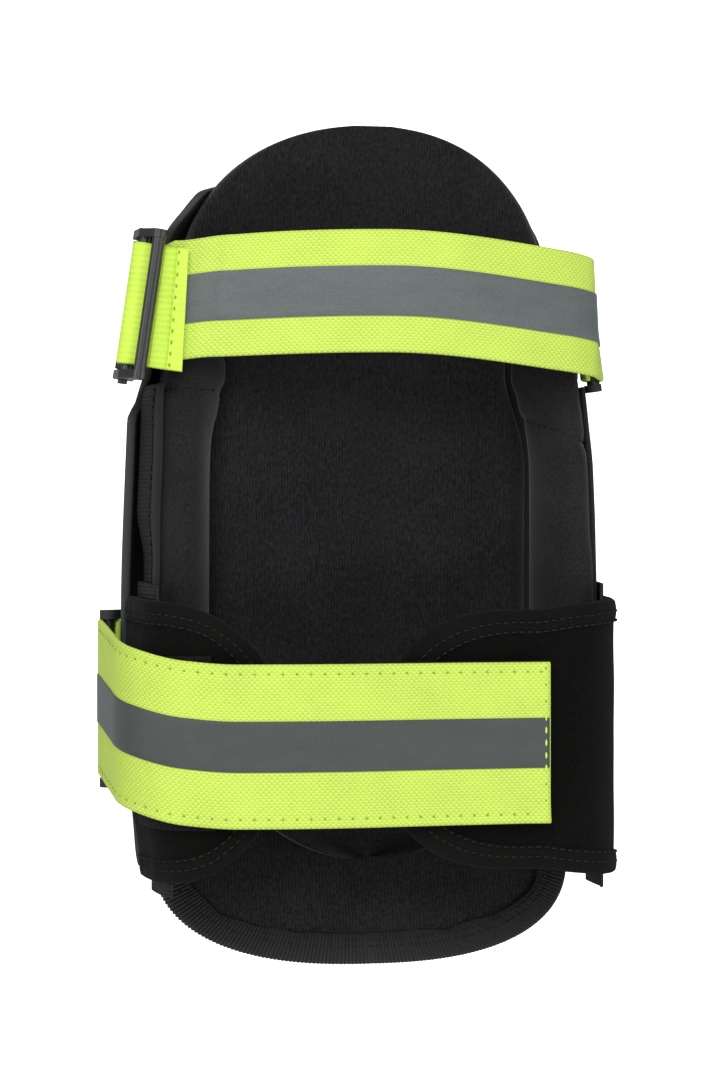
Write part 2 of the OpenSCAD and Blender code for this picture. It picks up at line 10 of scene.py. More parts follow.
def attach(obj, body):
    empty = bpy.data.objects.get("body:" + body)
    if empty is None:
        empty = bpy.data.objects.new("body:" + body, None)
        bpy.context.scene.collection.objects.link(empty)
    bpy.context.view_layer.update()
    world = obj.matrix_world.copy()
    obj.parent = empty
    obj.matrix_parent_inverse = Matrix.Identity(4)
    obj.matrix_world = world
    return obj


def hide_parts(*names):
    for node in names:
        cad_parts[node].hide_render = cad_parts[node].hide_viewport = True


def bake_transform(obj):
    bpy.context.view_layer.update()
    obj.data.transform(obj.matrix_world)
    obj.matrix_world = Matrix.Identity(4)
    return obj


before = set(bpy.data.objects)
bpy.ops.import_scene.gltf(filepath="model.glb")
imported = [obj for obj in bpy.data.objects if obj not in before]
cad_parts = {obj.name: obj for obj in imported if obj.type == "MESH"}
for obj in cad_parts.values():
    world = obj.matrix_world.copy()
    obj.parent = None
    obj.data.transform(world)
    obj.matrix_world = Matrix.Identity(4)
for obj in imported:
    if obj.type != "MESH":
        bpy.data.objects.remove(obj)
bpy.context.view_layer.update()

bl_info = {
    "name": "Knee Pad",
    "version": (1, 0, 0),
    "blender": (4, 5, 0),
    "location": "View3D > Sidebar > Knee Pad",
    "description": "Builds the soft goods, straps and finishes of a strapped knee pad round its frame",
    "category": "Add Mesh",
}

MM = 0.001
SWELL_FRAMES = 20


# ---- Sizes and colours that a user would change ----

def length(name, description, default_mm):
    """A length property: given here in millimetres, held in metres."""
    return bpy.props.FloatProperty(
        name=name, description=description, default=default_mm * MM, min=0.0, unit="LENGTH", precision=5)


def colour(name, description, default):
    return bpy.props.FloatVectorProperty(
        name=name, description=description, default=default, size=3, min=0.0, max=1.0, subtype="COLOR")


class KneePadSizes(bpy.types.PropertyGroup):
    upper_width: length("Upper strap width", "Width of the upper elastic strap", 38)
    lower_width: length("Lower strap width", "Width of the lower elastic strap", 50)
    webbing: length("Webbing thickness", "Thickness of the elastic straps", 1.6)
    tape_width: length("Tape width", "Width of the reflective tape on both straps", 15.5)
    hem_width: length("Hem width", "Width of the folded hem round each wing", 7.5)
    wing_thickness: length("Wing thickness", "Thickness of the neoprene wings", 3)
    binding_width: length("Binding width", "How far the ribbed tape reaches over the shin panel", 9)
    stitch_pitch: length("Stitch pitch", "Distance from one stitch to the next on the straps", 4.3)
    thread: length("Thread thickness", "Diameter of the sewing thread", 0.7)


class KneePadColours(bpy.types.PropertyGroup):
    elastic: colour("Elastic", "High-visibility webbing of both straps", (0.655, 0.870, 0.120))
    elastic_back: colour("Elastic reverse", "Reverse side of the webbing", (0.600, 0.850, 0.085))
    tape: colour("Reflective tape", "Tape woven on to both straps", (0.115, 0.136, 0.133))
    lower_tape: colour("Lower tape", "Duller tape on the lower strap", (0.066, 0.075, 0.069))
    liner: colour("Liner", "Knit over the knee cushion and shin panel", (0.0120, 0.0120, 0.0132))
    jersey: colour("Jersey", "Smooth cover of the side rails", (0.0130, 0.0130, 0.0138))
    wing: colour("Wing", "Brushed face of the wings", (0.0042, 0.0042, 0.0038))
    nylon: colour("Nylon", "Coarse woven nylon of the side walls", (0.0090, 0.0090, 0.0095))
    cap: colour("Cap", "Moulded rubber of the cap and lugs", (0.058, 0.064, 0.062))
    plastic: colour("Slide", "Glossy plastic of the strap slide", (0.016, 0.018, 0.016))


def sizes():
    return bpy.context.scene.knee_pad_sizes


def colours():
    return bpy.context.scene.knee_pad_colours


# ---- Plain maths, in millimetres and degrees ----

def clamp(value, low=0.0, high=1.0):
    return max(low, min(high, value))


def smooth(edge0, edge1, value):
    """0 before edge0, 1 after edge1, with an even turn between them."""
    t = clamp((value - edge0) / (edge1 - edge0))
    return t * t * (3 - 2 * t)


def ease(a, b, t):
    return a + (b - a) * smooth(0, 1, t)


def spread(first, last, count):
    return [first + (last - first) * i / count for i in range(count + 1)]


def spread_ends(first, last, count):
    """Stations that crowd towards both ends, where a rounded outline turns fastest."""
    return [first + (last - first) * (1 - cos(pi * i / count)) / 2 for i in range(count + 1)]


def table(*points):
    """A function that runs smoothly through (x, value) points and is level past the ends."""
    xs = [p[0] for p in points]
    ys = [p[1] for p in points]
    slopes = [0.0]
    for i in range(1, len(points) - 1):
        before = (ys[i] - ys[i - 1]) / (xs[i] - xs[i - 1])
        after = (ys[i + 1] - ys[i]) / (xs[i + 1] - xs[i])
        slopes.append(0.0 if before * after <= 0 else 2 * before * after / (before + after))
    slopes.append(0.0)

    def at(x):
        if x <= xs[0]:
            return ys[0]
        if x >= xs[-1]:
            return ys[-1]
        i = bisect_right(xs, x) - 1
        h = xs[i + 1] - xs[i]
        t = (x - xs[i]) / h
        return ((1 + 2 * t) * (1 - t) ** 2 * ys[i] + t * (1 - t) ** 2 * h * slopes[i]
                + t * t * (3 - 2 * t) * ys[i + 1] + t * t * (t - 1) * h * slopes[i + 1])
    return at


class Path:
    """A line in the XZ plane: a start (x, z, heading), then arcs of (length, turn)."""

    def __init__(self, start, *arcs):
        self.start = start
        self.arcs = arcs
        self.length = sum(arc[0] for arc in arcs)

    @staticmethod
    def arc_end(point, distance, turn):
        x, z, heading = point
        h = radians(heading)
        if abs(turn) < 0.001:
            return (x + distance * cos(h), z + distance * sin(h), heading)
        radius = distance / radians(turn)
        end = radians(heading + turn)
        return (x + radius * (sin(end) - sin(h)), z + radius * (cos(h) - cos(end)), heading + turn)

    def at(self, u):
        point = self.start
        for i, (distance, turn) in enumerate(self.arcs):
            if u <= distance or i == len(self.arcs) - 1:
                return self.arc_end(point, u, turn * u / distance)
            point = self.arc_end(point, distance, turn)
            u -= distance


# ---- The body's surfaces, shared by the cap, padding and covers ----

RAIL_HALF_W = 69
RAIL_TOP = 62
THIGH_REACH = 131.5
SHIN_REACH = 135
BASE_FLOOR = 8
THIGH_MID = 74
THIGH_HALF_W = 66
SHIN_MID = -100
SHIN_HALF_W = 68
WAIST = -30
CAP_WALL = 3.5
CAP_REACH = 119
WALL_ENDS = (-94, 49)       # where the side walls begin and end
DOME_HALF_W = 61            # the cushion's rounded thigh end
DOME_REACH = THIGH_REACH + 0.3
DOME_POWER = 2.3

flare = table((-8, 1.6), (10, 4.5), (40, 4.5), (54, 1.5), (70, 0))
rail_height = table((-86, 47), (-76, 56), (-62, 61), (-52, RAIL_TOP), (22, RAIL_TOP),
                    (38, 58), (55, 53), (66, 50), (78, 46.5))
rail_in = table((-60, 50.5), (25, 50.5), (35, 48.8), (55, 43.8), (78, 43.8))
cap_out = table((-119, -24), (-112, -9), (-108, 0), (-104, 4.5), (-88, 6), (-70, 9.8), (38, 10.2),
                (45, 7), (52, 5.4), (98, 5), (105, 4), (110, 3.9), (113, 1), (119, -24))
cap_rise = table((-119, -1), (-108, -1), (-104, 4), (-95, 6.3), (-88, 9), (-78, 22), (-70, 26), (38, 26),
                 (43, 23), (48, 19), (54, 24), (92, 21), (98, 21), (105, 18), (110, 14), (113, 4),
                 (115, -1), (119, -1))


def half_w(y):
    if y > THIGH_MID:
        return THIGH_HALF_W * sqrt(max(0, 1 - ((y - THIGH_MID) / (THIGH_REACH - THIGH_MID)) ** 2))
    if y < SHIN_MID:
        return SHIN_HALF_W * max(0, 1 - ((SHIN_MID - y) / (SHIN_REACH + SHIN_MID)) ** 2.5) ** 0.4
    if y > WAIST:
        return ease(RAIL_HALF_W, THIGH_HALF_W, (y - WAIST) / (THIGH_MID - WAIST))
    return ease(RAIL_HALF_W, SHIN_HALF_W, (WAIST - y) / (WAIST - SHIN_MID))


def base_z(y):
    curl = 0.0036 * (y - 45) ** 2 if y > 45 else 0.0032 * (y + 50) ** 2 if y < -50 else 0
    return BASE_FLOOR + curl


def well_z(y):
    return base_z(y) + ease(20, 13, (y - 60) / 70)


def ledge_z(y):
    return ease(well_z(y) + 10, base_z(y) + 13.3, (-55 - y) / 15)


def rail_z(y):
    """Height of a side rail's top; it runs out into the shin panel."""
    return ease(base_z(-96) + 15, rail_height(y), (y + 98) / 14)


def wall_x(y, z, side=1):
    """Outer face of the side wall at height z. The right wall leans out less than the left."""
    top = max(rail_z(y), ledge_z(y) + 4)
    return half_w(y) + (0.35 if side > 0 else 1) * flare(y) * clamp((top - z) / max(6, top - base_z(y) - 26))


# ---- Mesh building ----

def new_piece(name, points, faces, finishes, uvs, face_finish):
    """A mesh object at the origin. points are in millimetres, uvs one (u, v) per corner of each face."""
    mesh = bpy.data.meshes.new(name)
    mesh.from_pydata([(x * MM, y * MM, z * MM) for x, y, z in points], [], faces)
    for finish in finishes:
        mesh.materials.append(finish)
    layer = mesh.uv_layers.new(name="UVMap")
    for polygon, corners in zip(mesh.polygons, uvs):
        for loop, (u, v) in zip(polygon.loop_indices, corners):
            layer.data[loop].uv = (u * MM, v * MM)
    for polygon, index in zip(mesh.polygons, face_finish):
        polygon.material_index = index
    mesh.polygons.foreach_set("use_smooth", [True] * len(mesh.polygons))
    piece = bpy.data.objects.new(name, mesh)
    bpy.context.scene.collection.objects.link(piece)
    return piece


def outward(piece):
    """Merges points within a micrometre, then turns every face outwards."""
    work = bmesh.new()
    work.from_mesh(piece.data)
    bmesh.ops.remove_doubles(work, verts=work.verts, dist=0.001 * MM)
    bmesh.ops.recalc_face_normals(work, faces=work.faces)
    work.to_mesh(piece.data)
    work.free()
    return piece


def tube(name, rings, finishes, rounds=None, along=None, face_finish=None):
    """A closed skin through rings of points. rounds gives each ring point's own u, along each ring's v."""
    count = len(rings[0])
    points = [p for ring in rings for p in ring]
    faces, uvs, picks = [], [], []
    if along is None:
        along = [0.0]
        for a, b in zip(rings, rings[1:]):
            along.append(along[-1] + (Vector(b[0]) - Vector(a[0])).length)
    if rounds is None:
        rounds = [0.0]
        middle = rings[len(rings) // 2]
        for a, b in zip(middle, middle[1:]):
            rounds.append(rounds[-1] + (Vector(b) - Vector(a)).length)
    for j in range(len(rings) - 1):
        for i in range(count):
            k = (i + 1) % count
            faces.append((j * count + i, j * count + k, (j + 1) * count + k, (j + 1) * count + i))
            ends = (rounds[i], rounds[k] if k else rounds[i])
            uvs.append([(along[j + step], end) for step, end in zip((0, 0, 1, 1), (*ends, *ends[::-1]))])
            picks.append(face_finish(j, i) if face_finish else 0)
    last = (len(rings) - 1) * count
    faces.append(tuple(range(count - 1, -1, -1)))
    faces.append(tuple(last + i for i in range(count)))
    for row, index in ((along[0], list(range(count - 1, -1, -1))), (along[-1], list(range(count)))):
        uvs.append([(row, rounds[i]) for i in index])
        picks.append(face_finish(0 if row == along[0] else len(rings) - 2, 0) if face_finish else 0)
    return outward(new_piece(name, points, faces, finishes, uvs, picks))


def spline_ring(controls, count):
    """count points on a closed cubic B-spline with the given (a, b) control points."""
    n = len(controls)
    ring = []
    for k in range(count):
        at = n * k / count
        i, t = int(at), at - int(at)
        weights = ((1 - t) ** 3 / 6, (3 * t ** 3 - 6 * t * t + 4) / 6,
                   (-3 * t ** 3 + 3 * t * t + 3 * t + 1) / 6, t ** 3 / 6)
        near = [controls[(i + m) % n] for m in range(4)]
        ring.append(tuple(sum(w * p[axis] for w, p in zip(weights, near)) for axis in (0, 1)))
    return ring


def both_halves(half):
    """Control points across the body from (x, z) points over the right half, outside first."""
    return half + [(-x, z) for x, z in reversed(half) if x > 0.001]


def band_profile(width, thickness, count=12, corner=3):
    """The section of a band with rounded edges, as (across, lift) points, top face first."""
    half, r = width / 2, thickness / 2
    flat = spread(-(half - r), half - r, count)
    top = [(v, r) for v in flat]
    turns = [pi * k / (corner + 1) for k in range(1, corner + 1)]
    right = [(half - r + r * sin(turn), r * cos(turn)) for turn in turns]
    under = [(v, -r) for v in reversed(flat)]
    left = [(-v, z) for v, z in reversed(right)]
    return top + right + under + left


class Station:
    """A place on a band: its middle, the direction across it and the direction out of its face."""

    def __init__(self, middle, across, out, along):
        self.middle, self.across, self.out, self.along = middle, across, out, along

    def point(self, v, lift):
        return self.middle + self.across * v + self.out * lift


def stations(path, first, last, step, mid, lean=None, flip=1, place=None, level=0.0):
    """Stations along a path. mid gives the band's y, lean its slant, and level lifts it."""
    found = []
    count = max(2, int(abs(last - first) / step))
    for u in spread(first, last, count):
        x, z, heading = path.at(u)
        h = radians(heading)
        slant = radians(lean(u)) if lean else 0.0
        out = Vector((-sin(h), 0, cos(h))) * flip
        middle = Vector((x, mid(u), z)) + out * level
        across = Vector((sin(slant), cos(slant), 0))
        if place:
            turned = place.to_3x3()
            middle, across, out = place @ middle, turned @ across, turned @ out
        found.append(Station(middle, across, out, u))
    return found


def band(name, line, width, thickness, finishes, lift=None, pick=None, count=12):
    """A band of webbing or tape through stations. lift(station, v) raises its outer face."""
    profile = band_profile(width, thickness, count)
    rings = []
    for station in line:
        rings.append([station.point(v, z + (lift(station, v) if lift else 0.0)) for v, z in profile])
    along = [station.along for station in line]
    return tube(name, rings, finishes, [v for v, _ in profile], along,
                (lambda j, i: pick(line[j], profile[i][0], profile[i][1])) if pick else None)


def settle(piece):
    """Turns what the piece's modifiers make into its plain mesh."""
    bpy.context.view_layer.update()
    shaped = piece.evaluated_get(bpy.context.evaluated_depsgraph_get())
    mesh = bpy.data.meshes.new_from_object(shaped)
    old = piece.data
    piece.modifiers.clear()
    piece.data = mesh
    bpy.data.meshes.remove(old)
    mesh.name = piece.name
    return piece


def press(piece, depth):
    """Moves each point of a finished mesh along its normal by depth(x, y), in millimetres."""
    mesh = piece.data
    moves = []
    for vertex in mesh.vertices:
        moves.append(vertex.normal * depth(vertex.co.x / MM, vertex.co.y / MM) * MM)
    for vertex, move in zip(mesh.vertices, moves):
        vertex.co = vertex.co + move
    mesh.update()
    return piece


def smoothed(piece, rounds):
    modifier = piece.modifiers.new("smooth", "SMOOTH")
    modifier.factor = 0.5
    modifier.iterations = rounds


def blow_up(piece, held, pressure):
    """Runs a short cloth simulation with air pressure inside the piece. held lists the fixed points."""
    group = piece.vertex_groups.new(name="held")
    group.add(held, 1.0, "REPLACE")
    cloth = piece.modifiers.new("cloth", "CLOTH")
    settings = cloth.settings
    settings.quality = 5
    settings.use_pressure = True
    settings.uniform_pressure_force = pressure
    settings.effector_weights.gravity = 0.0
    settings.vertex_group_mass = "held"
    cloth.point_cache.frame_start = 1
    cloth.point_cache.frame_end = SWELL_FRAMES
    scene = bpy.context.scene
    for number in range(1, SWELL_FRAMES + 1):
        scene.frame_set(number)
    settle(piece)
    scene.frame_set(1)
    piece.vertex_groups.clear()


def swell(piece, voxel, reach, held, pressure):
    """Fills a padded piece out like a stuffed cover. Points where held() is true stay in place, and none
    moves further than reach. A voxel of 0 keeps the piece's own mesh."""
    if voxel:
        remesh = piece.modifiers.new("remesh", "REMESH")
        remesh.mode = "VOXEL"
        remesh.voxel_size = voxel * MM
        remesh.use_smooth_shade = True
        smoothed(piece, 8)
        settle(piece)
    start = [vertex.co.copy() for vertex in piece.data.vertices]
    blow_up(piece, [i for i, co in enumerate(start) if held(*(c / MM for c in co))], pressure)
    for vertex, origin in zip(piece.data.vertices, start):
        move = vertex.co - origin
        if move.length > reach * MM:
            vertex.co = origin + move.normalized() * reach * MM
    smoothed(piece, 12 if voxel else 3)
    finer = piece.modifiers.new("subdivide", "SUBSURF")
    finer.levels = finer.render_levels = 1
    return settle(piece)


# ---- Finishes ----

class Value:
    """A shader socket that can be used in sums."""

    def __init__(self, finish, socket):
        self.finish, self.socket = finish, socket

    def sum(self, operation, *others):
        return self.finish.node("ShaderNodeMath", {"operation": operation}, 0, *others)

    def __add__(self, other):
        return self.sum("ADD", self, other)

    __radd__ = __add__

    def __mul__(self, other):
        return self.sum("MULTIPLY", self, other)

    __rmul__ = __mul__

    def __sub__(self, other):
        return self.sum("SUBTRACT", self, other)

    def __rsub__(self, other):
        return self.sum("SUBTRACT", other, self)

    def __truediv__(self, other):
        return self.sum("DIVIDE", self, other)

    def wave(self):
        """0 to 1 and back over each whole step."""
        return self.sum("SINE", self * (2 * pi)) * 0.5 + 0.5

    def limit(self):
        return self.finish.node("ShaderNodeClamp", {}, 0, self)

    def between(self, low, high):
        """0 below low, 1 above high."""
        smooth = {"interpolation_type": "SMOOTHSTEP"}
        return self.finish.node("ShaderNodeMapRange", smooth, 0, self, low, high)


class Finish:
    """A material built from nodes round one Principled shader."""

    def __init__(self, name, **constants):
        self.material = bpy.data.materials.new(name)
        self.material.use_nodes = True
        self.tree = self.material.node_tree
        self.shader = self.tree.nodes["Principled BSDF"]
        for socket, value in constants.items():
            self.shader.inputs[socket.replace("_", " ")].default_value = value

    def node(self, kind, settings, output, *inputs, **named):
        """Adds a node and returns its output. Inputs are numbers, colours or Values, in socket order."""
        made = self.tree.nodes.new(kind)
        for key, value in settings.items():
            setattr(made, key, value)
        pairs = [(made.inputs[i], value) for i, value in enumerate(inputs)]
        pairs += [(made.inputs[key.replace("_", " ")], value) for key, value in named.items()]
        for socket, value in pairs:
            if isinstance(value, Value):
                self.tree.links.new(value.socket, socket)
            elif value is not None:
                socket.default_value = value
        return Value(self, made.outputs[output])

    def place(self, kind="Object"):
        """Coordinates in millimetres, split into three Values, and whole."""
        whole = self.node("ShaderNodeTexCoord", {}, kind)
        whole = self.node("ShaderNodeVectorMath", {"operation": "SCALE"}, 0, whole, Scale=1 / MM)
        self.tree.nodes.new("ShaderNodeSeparateXYZ")
        split = self.tree.nodes[-1]
        self.tree.links.new(whole.socket, split.inputs[0])
        return [Value(self, out) for out in split.outputs] + [whole]

    def noise(self, whole, pitch, detail=2.0, roughness=0.5, stretch=None):
        """Noise from 0 to 1 whose features are about pitch millimetres across."""
        if stretch:
            whole = self.node("ShaderNodeVectorMath", {"operation": "MULTIPLY"}, 0, whole, stretch)
        return self.node("ShaderNodeTexNoise", {}, 0, Vector=whole, Scale=1.0 / pitch, Detail=detail,
                         Roughness=roughness)

    def mix(self, share, first, second):
        """A colour part of the way from first to second."""
        made = self.tree.nodes.new("ShaderNodeMix")
        made.data_type = "RGBA"
        for socket, value in ((made.inputs[0], share), (made.inputs[6], first), (made.inputs[7], second)):
            if isinstance(value, Value):
                self.tree.links.new(value.socket, socket)
            elif socket == made.inputs[0]:
                socket.default_value = value
            else:
                socket.default_value = (*value, 1.0)
        return Value(self, made.outputs[2])

    def bump(self, height, distance):
        """Raises the surface by height times distance, in millimetres."""
        raised = self.node("ShaderNodeBump", {}, 0, Height=height, Distance=distance * MM, Strength=1.0)
        self.set("Normal", raised)

    def set(self, socket, value):
        self.tree.links.new(value.socket, self.shader.inputs[socket])


def scaled(tone, factor):
    return tuple(clamp(c * factor) for c in tone)


def knit(name, tone, wale=0.95):
    """Brushed knit: fine wales that run up the pad, with a soft nap and faint lint."""
    f = Finish(name, Roughness=0.95, Sheen_Weight=0.2, Sheen_Roughness=0.45, Specular_IOR_Level=0.18)
    x, y, z, whole = f.place()
    nap = f.noise(whole, 0.75, 4.0, 0.75, (1.0, 0.45, 1.0))
    cloud = f.noise(whole, 26.0, 2.0)
    wales = ((x + nap * 1.1 + cloud * 1.5) / wale).wave()
    loops = ((y + x * 0.5 + nap * 0.8) / (wale * 0.8)).wave()
    lint = f.noise(whole, 2.2, 4.0, 0.8).between(0.70, 0.84)
    raised = (wales * 0.25 + nap * 1.8 + cloud * 0.4 - 0.95).limit()
    tone_now = f.mix(raised, scaled(tone, 0.2), scaled(tone, 2.7))
    f.set("Base Color", f.mix(lint * 0.35, tone_now, scaled(tone, 3.4)))
    f.bump(wales * loops * 0.4 + nap, 0.2)
    return f.material


def jersey(name, tone):
    """Smooth fine jersey stretched over foam."""
    f = Finish(name, Roughness=0.9, Sheen_Weight=0.15, Sheen_Roughness=0.45, Specular_IOR_Level=0.15)
    _, y, z, whole = f.place()
    nap = f.noise(whole, 0.7, 4.0, 0.75)
    cloud = f.noise(whole, 18.0, 2.0)
    raised = (nap * 2.2 + cloud * 0.5 - 0.95).limit()
    f.set("Base Color", f.mix(raised, scaled(tone, 0.25), scaled(tone, 2.3)))
    f.bump(((y + z) / 0.7).wave() * 0.4 + nap, 0.08)
    return f.material


def brushed(name, tone, pitch=0.8, depth=0.12, lint_share=0.25):
    """Brushed face of neoprene: a short even nap with a little lint."""
    f = Finish(name, Roughness=1.0, Sheen_Weight=0.03, Sheen_Roughness=0.6, Specular_IOR_Level=0.04)
    whole = f.place()[3]
    nap = f.noise(whole, pitch, 4.0, 0.7)
    cloud = f.noise(whole, 30.0, 2.0)
    lint = f.noise(whole, 1.7, 4.0, 0.85).between(0.71, 0.82)
    tone_now = f.mix((nap * 1.6 + cloud * 0.4 - 0.7).limit(), scaled(tone, 0.45), scaled(tone, 1.8))
    f.set("Base Color", f.mix(lint * lint_share, tone_now, scaled(tone, 4.5)))
    f.bump(nap, depth)
    return f.material


def loop_pile(name, tone):
    """Loop side of a touch fastener: a tangle of tiny loops."""
    f = Finish(name, Roughness=1.0, Sheen_Weight=0.05, Sheen_Roughness=0.5, Specular_IOR_Level=0.08)
    whole = f.place()[3]
    tangle = f.node("ShaderNodeTexVoronoi", {"feature": "SMOOTH_F1"}, 0, Vector=whole, Scale=1.1)
    nap = f.noise(whole, 0.5, 4.0, 0.75)
    f.set("Base Color", f.mix((tangle + nap * 0.5 - 0.2).limit(), scaled(tone, 0.4), scaled(tone, 2.6)))
    f.bump(tangle * 0.8 + nap, 0.45)
    return f.material


def woven(name, tone, pitch=1.3):
    """Coarse plain-woven nylon with a slight gloss on each raised yarn."""
    f = Finish(name, Specular_IOR_Level=0.25)
    _, y, z, whole = f.place()
    over = ((y / (2 * pitch)).wave() - (z / (2 * pitch)).wave()) * 0.5 + 0.5
    yarn = (y / pitch).wave() * over + (z / pitch).wave() * (1 - over)
    fibre = f.noise(whole, 0.3, 2.0)
    # Painted highlight: the colour is lighter on each raised yarn and darker between yarns, with random fibre
    # tone. The real gloss comes from the roughness below.
    raised = (yarn * 0.8 + fibre * 0.3 - 0.1).limit()
    f.set("Base Color", f.mix(raised, scaled(tone, 0.35), scaled(tone, 2.2)))
    f.set("Roughness", 0.72 - yarn * 0.2)
    f.bump(yarn + fibre * 0.2, 0.3)
    return f.material


def neoprene(name, tone):
    """Smooth-skinned neoprene with a faint orange-peel."""
    f = Finish(name, Roughness=0.8, Sheen_Weight=0.04, Specular_IOR_Level=0.15)
    whole = f.place()[3]
    skin = f.noise(whole, 1.4, 3.0, 0.55)
    cloud = f.noise(whole, 22.0, 2.0)
    f.set("Base Color", f.mix((skin * 0.6 + cloud * 0.6 - 0.1).limit(), scaled(tone, 0.7), scaled(tone, 1.4)))
    f.bump(skin, 0.1)
    return f.material


def elastic(name, tone, rib=0.85, plain=0.35, contrast=0.55):
    """Woven elastic: rubber ribs along the band, under a fine twilled weft."""
    f = Finish(name, Roughness=0.62, Sheen_Weight=0.25, Sheen_Roughness=0.5, Specular_IOR_Level=0.3,
               Sheen_Tint=(0.8, 1.0, 0.3, 1.0))
    u, v = f.place("UV")[:2]
    whole = f.place()[3]
    fibre = f.noise(whole, 0.35, 2.0)
    ribs = ((v + fibre * 0.12) / rib).wave()
    twill = ((u + v) / (2 * rib)).wave() * 0.5 + ((u - v) / (2 * rib)).wave() * 0.5
    # Painted shade: broad patches stand for the shade of loose, rippled webbing.
    slack_shade = f.noise(whole, 14.0, 2.0)
    height = ribs * plain + twill * (1 - plain)
    # The colour is painted shade of the weave: darker in its low parts, with random fibre tone and the slack
    # patches.
    shade = ((height - 0.5) * 1.9 * contrast + (fibre - 0.5) * 0.6 + (slack_shade - 0.5) * 0.4 + 0.62).limit()
    f.set("Base Color", f.mix(shade, scaled(tone, 0.62), scaled(tone, 1.14)))
    f.bump(height + fibre * 0.15, 0.16)
    return f.material


def reflective(name, tone, glitter=1.0):
    """Grey retroreflective tape: glass beads over a faint weave, with fine scuffs."""
    f = Finish(name, Metallic=0.25, Specular_IOR_Level=0.5, Sheen_Weight=0.15)
    u, v = f.place("UV")[:2]
    whole = f.place()[3]
    beads = f.noise(whole, 0.32, 2.0, 0.8)
    scuffs = f.noise(whole, 6.0, 4.0, 0.7, (0.25, 1.0, 1.0))
    weave = (u / 0.7).wave() * (v / 0.7).wave()
    share = ((beads - 0.5) * 2.4 * glitter + (weave - 0.5) * 0.3 + (scuffs - 0.5) * 0.8 + 0.5).limit()
    f.set("Base Color", f.mix(share, scaled(tone, 0.72), scaled(tone, 1.45)))
    f.set("Roughness", 0.42 + scuffs * 0.2)
    f.bump(beads * 0.5 + weave, 0.06)
    return f.material


RIB_PITCH = 1.25


def grosgrain(name, tone):
    """Ribbed binding tape; its ribs are in the mesh, and this adds the yarns and paints light and shade on
    the ribs.
    """
    f = Finish(name, Roughness=0.7, Sheen_Weight=0.1, Sheen_Roughness=0.4, Specular_IOR_Level=0.35)
    u, v = f.place("UV")[:2]
    whole = f.place()[3]
    fibre = f.noise(whole, 0.35, 3.0, 0.7)
    # Painted light and shade: the colour runs a quarter rib ahead of the mesh's ribs, so one flank of each
    # rib is lighter and the other darker. The yarn lines are painted shade of their relief, and the fibre
    # noise is random tone.
    ribs = ((u + 0.29) / RIB_PITCH).wave()
    yarn = (v / 0.5).wave()
    raised = (ribs * 0.5 + yarn * 0.2 + fibre * 0.8 - 0.3).limit()
    f.set("Base Color", f.mix(raised, scaled(tone, 0.12), scaled(tone, 2.6)))
    f.bump(yarn * 0.4 + fibre, 0.12)
    return f.material


def moulded(name, tone, rough=0.52, grain=0.5, coat=0.0):
    """Moulded rubber or plastic: a fine spark-eroded grain, a rubbed mottle, and a painted highlight on
    convex edges.
    """
    f = Finish(name, Specular_IOR_Level=0.4, Coat_Roughness=0.3)
    whole = f.place()[3]
    spark = f.noise(whole, grain, 3.0, 0.6)
    rub_and_highlight_patches = f.noise(whole, 9.0, 4.0, 0.65)
    # Painted highlight: convex edges, found by pointiness, are made paler where the mottle patches fall.
    edge = f.node("ShaderNodeNewGeometry", {}, "Pointiness").between(0.52, 0.60)
    painted_edge_highlight = (edge * rub_and_highlight_patches.between(0.35, 0.6) * 0.6).limit()
    plain = f.mix((rub_and_highlight_patches * 0.7 + spark * 0.3).limit(), scaled(tone, 0.75), scaled(tone, 1.2))
    f.set("Base Color", f.mix(painted_edge_highlight, plain, scaled(tone, 1.9)))
    f.set("Roughness", rough + rub_and_highlight_patches * 0.16)
    f.bump(spark, 0.05)
    if coat:
        f.shader.inputs["Coat Weight"].default_value = coat
    return f.material


def steel(name):
    """Blackened steel with turning marks."""
    f = Finish(name, Metallic=0.8)
    whole = f.place()[3]
    lines = f.noise(whole, 0.8, 2.0, 0.5, (1.0, 0.1, 1.0))
    stain = f.noise(whole, 5.0, 3.0)
    f.set("Base Color", f.mix(stain, (0.035, 0.035, 0.036), (0.075, 0.075, 0.074)))
    f.set("Roughness", 0.28 + lines * 0.2)
    f.bump(lines, 0.02)
    return f.material


def gel(name):
    """Clear tinted gel."""
    f = Finish(name, Roughness=0.15, Subsurface_Weight=0.3)
    whole = f.place()[3]
    clouds = f.noise(whole, 12.0, 2.0)
    f.set("Base Color", f.mix(clouds, (0.18, 0.36, 0.46), (0.30, 0.52, 0.62)))
    f.bump(clouds, 0.2)
    return f.material


def thread(name, tone):
    """Twisted sewing thread."""
    f = Finish(name, Roughness=0.6, Specular_IOR_Level=0.35)
    whole = f.place()[3]
    twist = f.noise(whole, 0.3, 2.0)
    f.set("Base Color", f.mix(twist, scaled(tone, 0.7), scaled(tone, 1.3)))
    f.bump(twist, 0.05)
    return f.material


FINISHES = {}


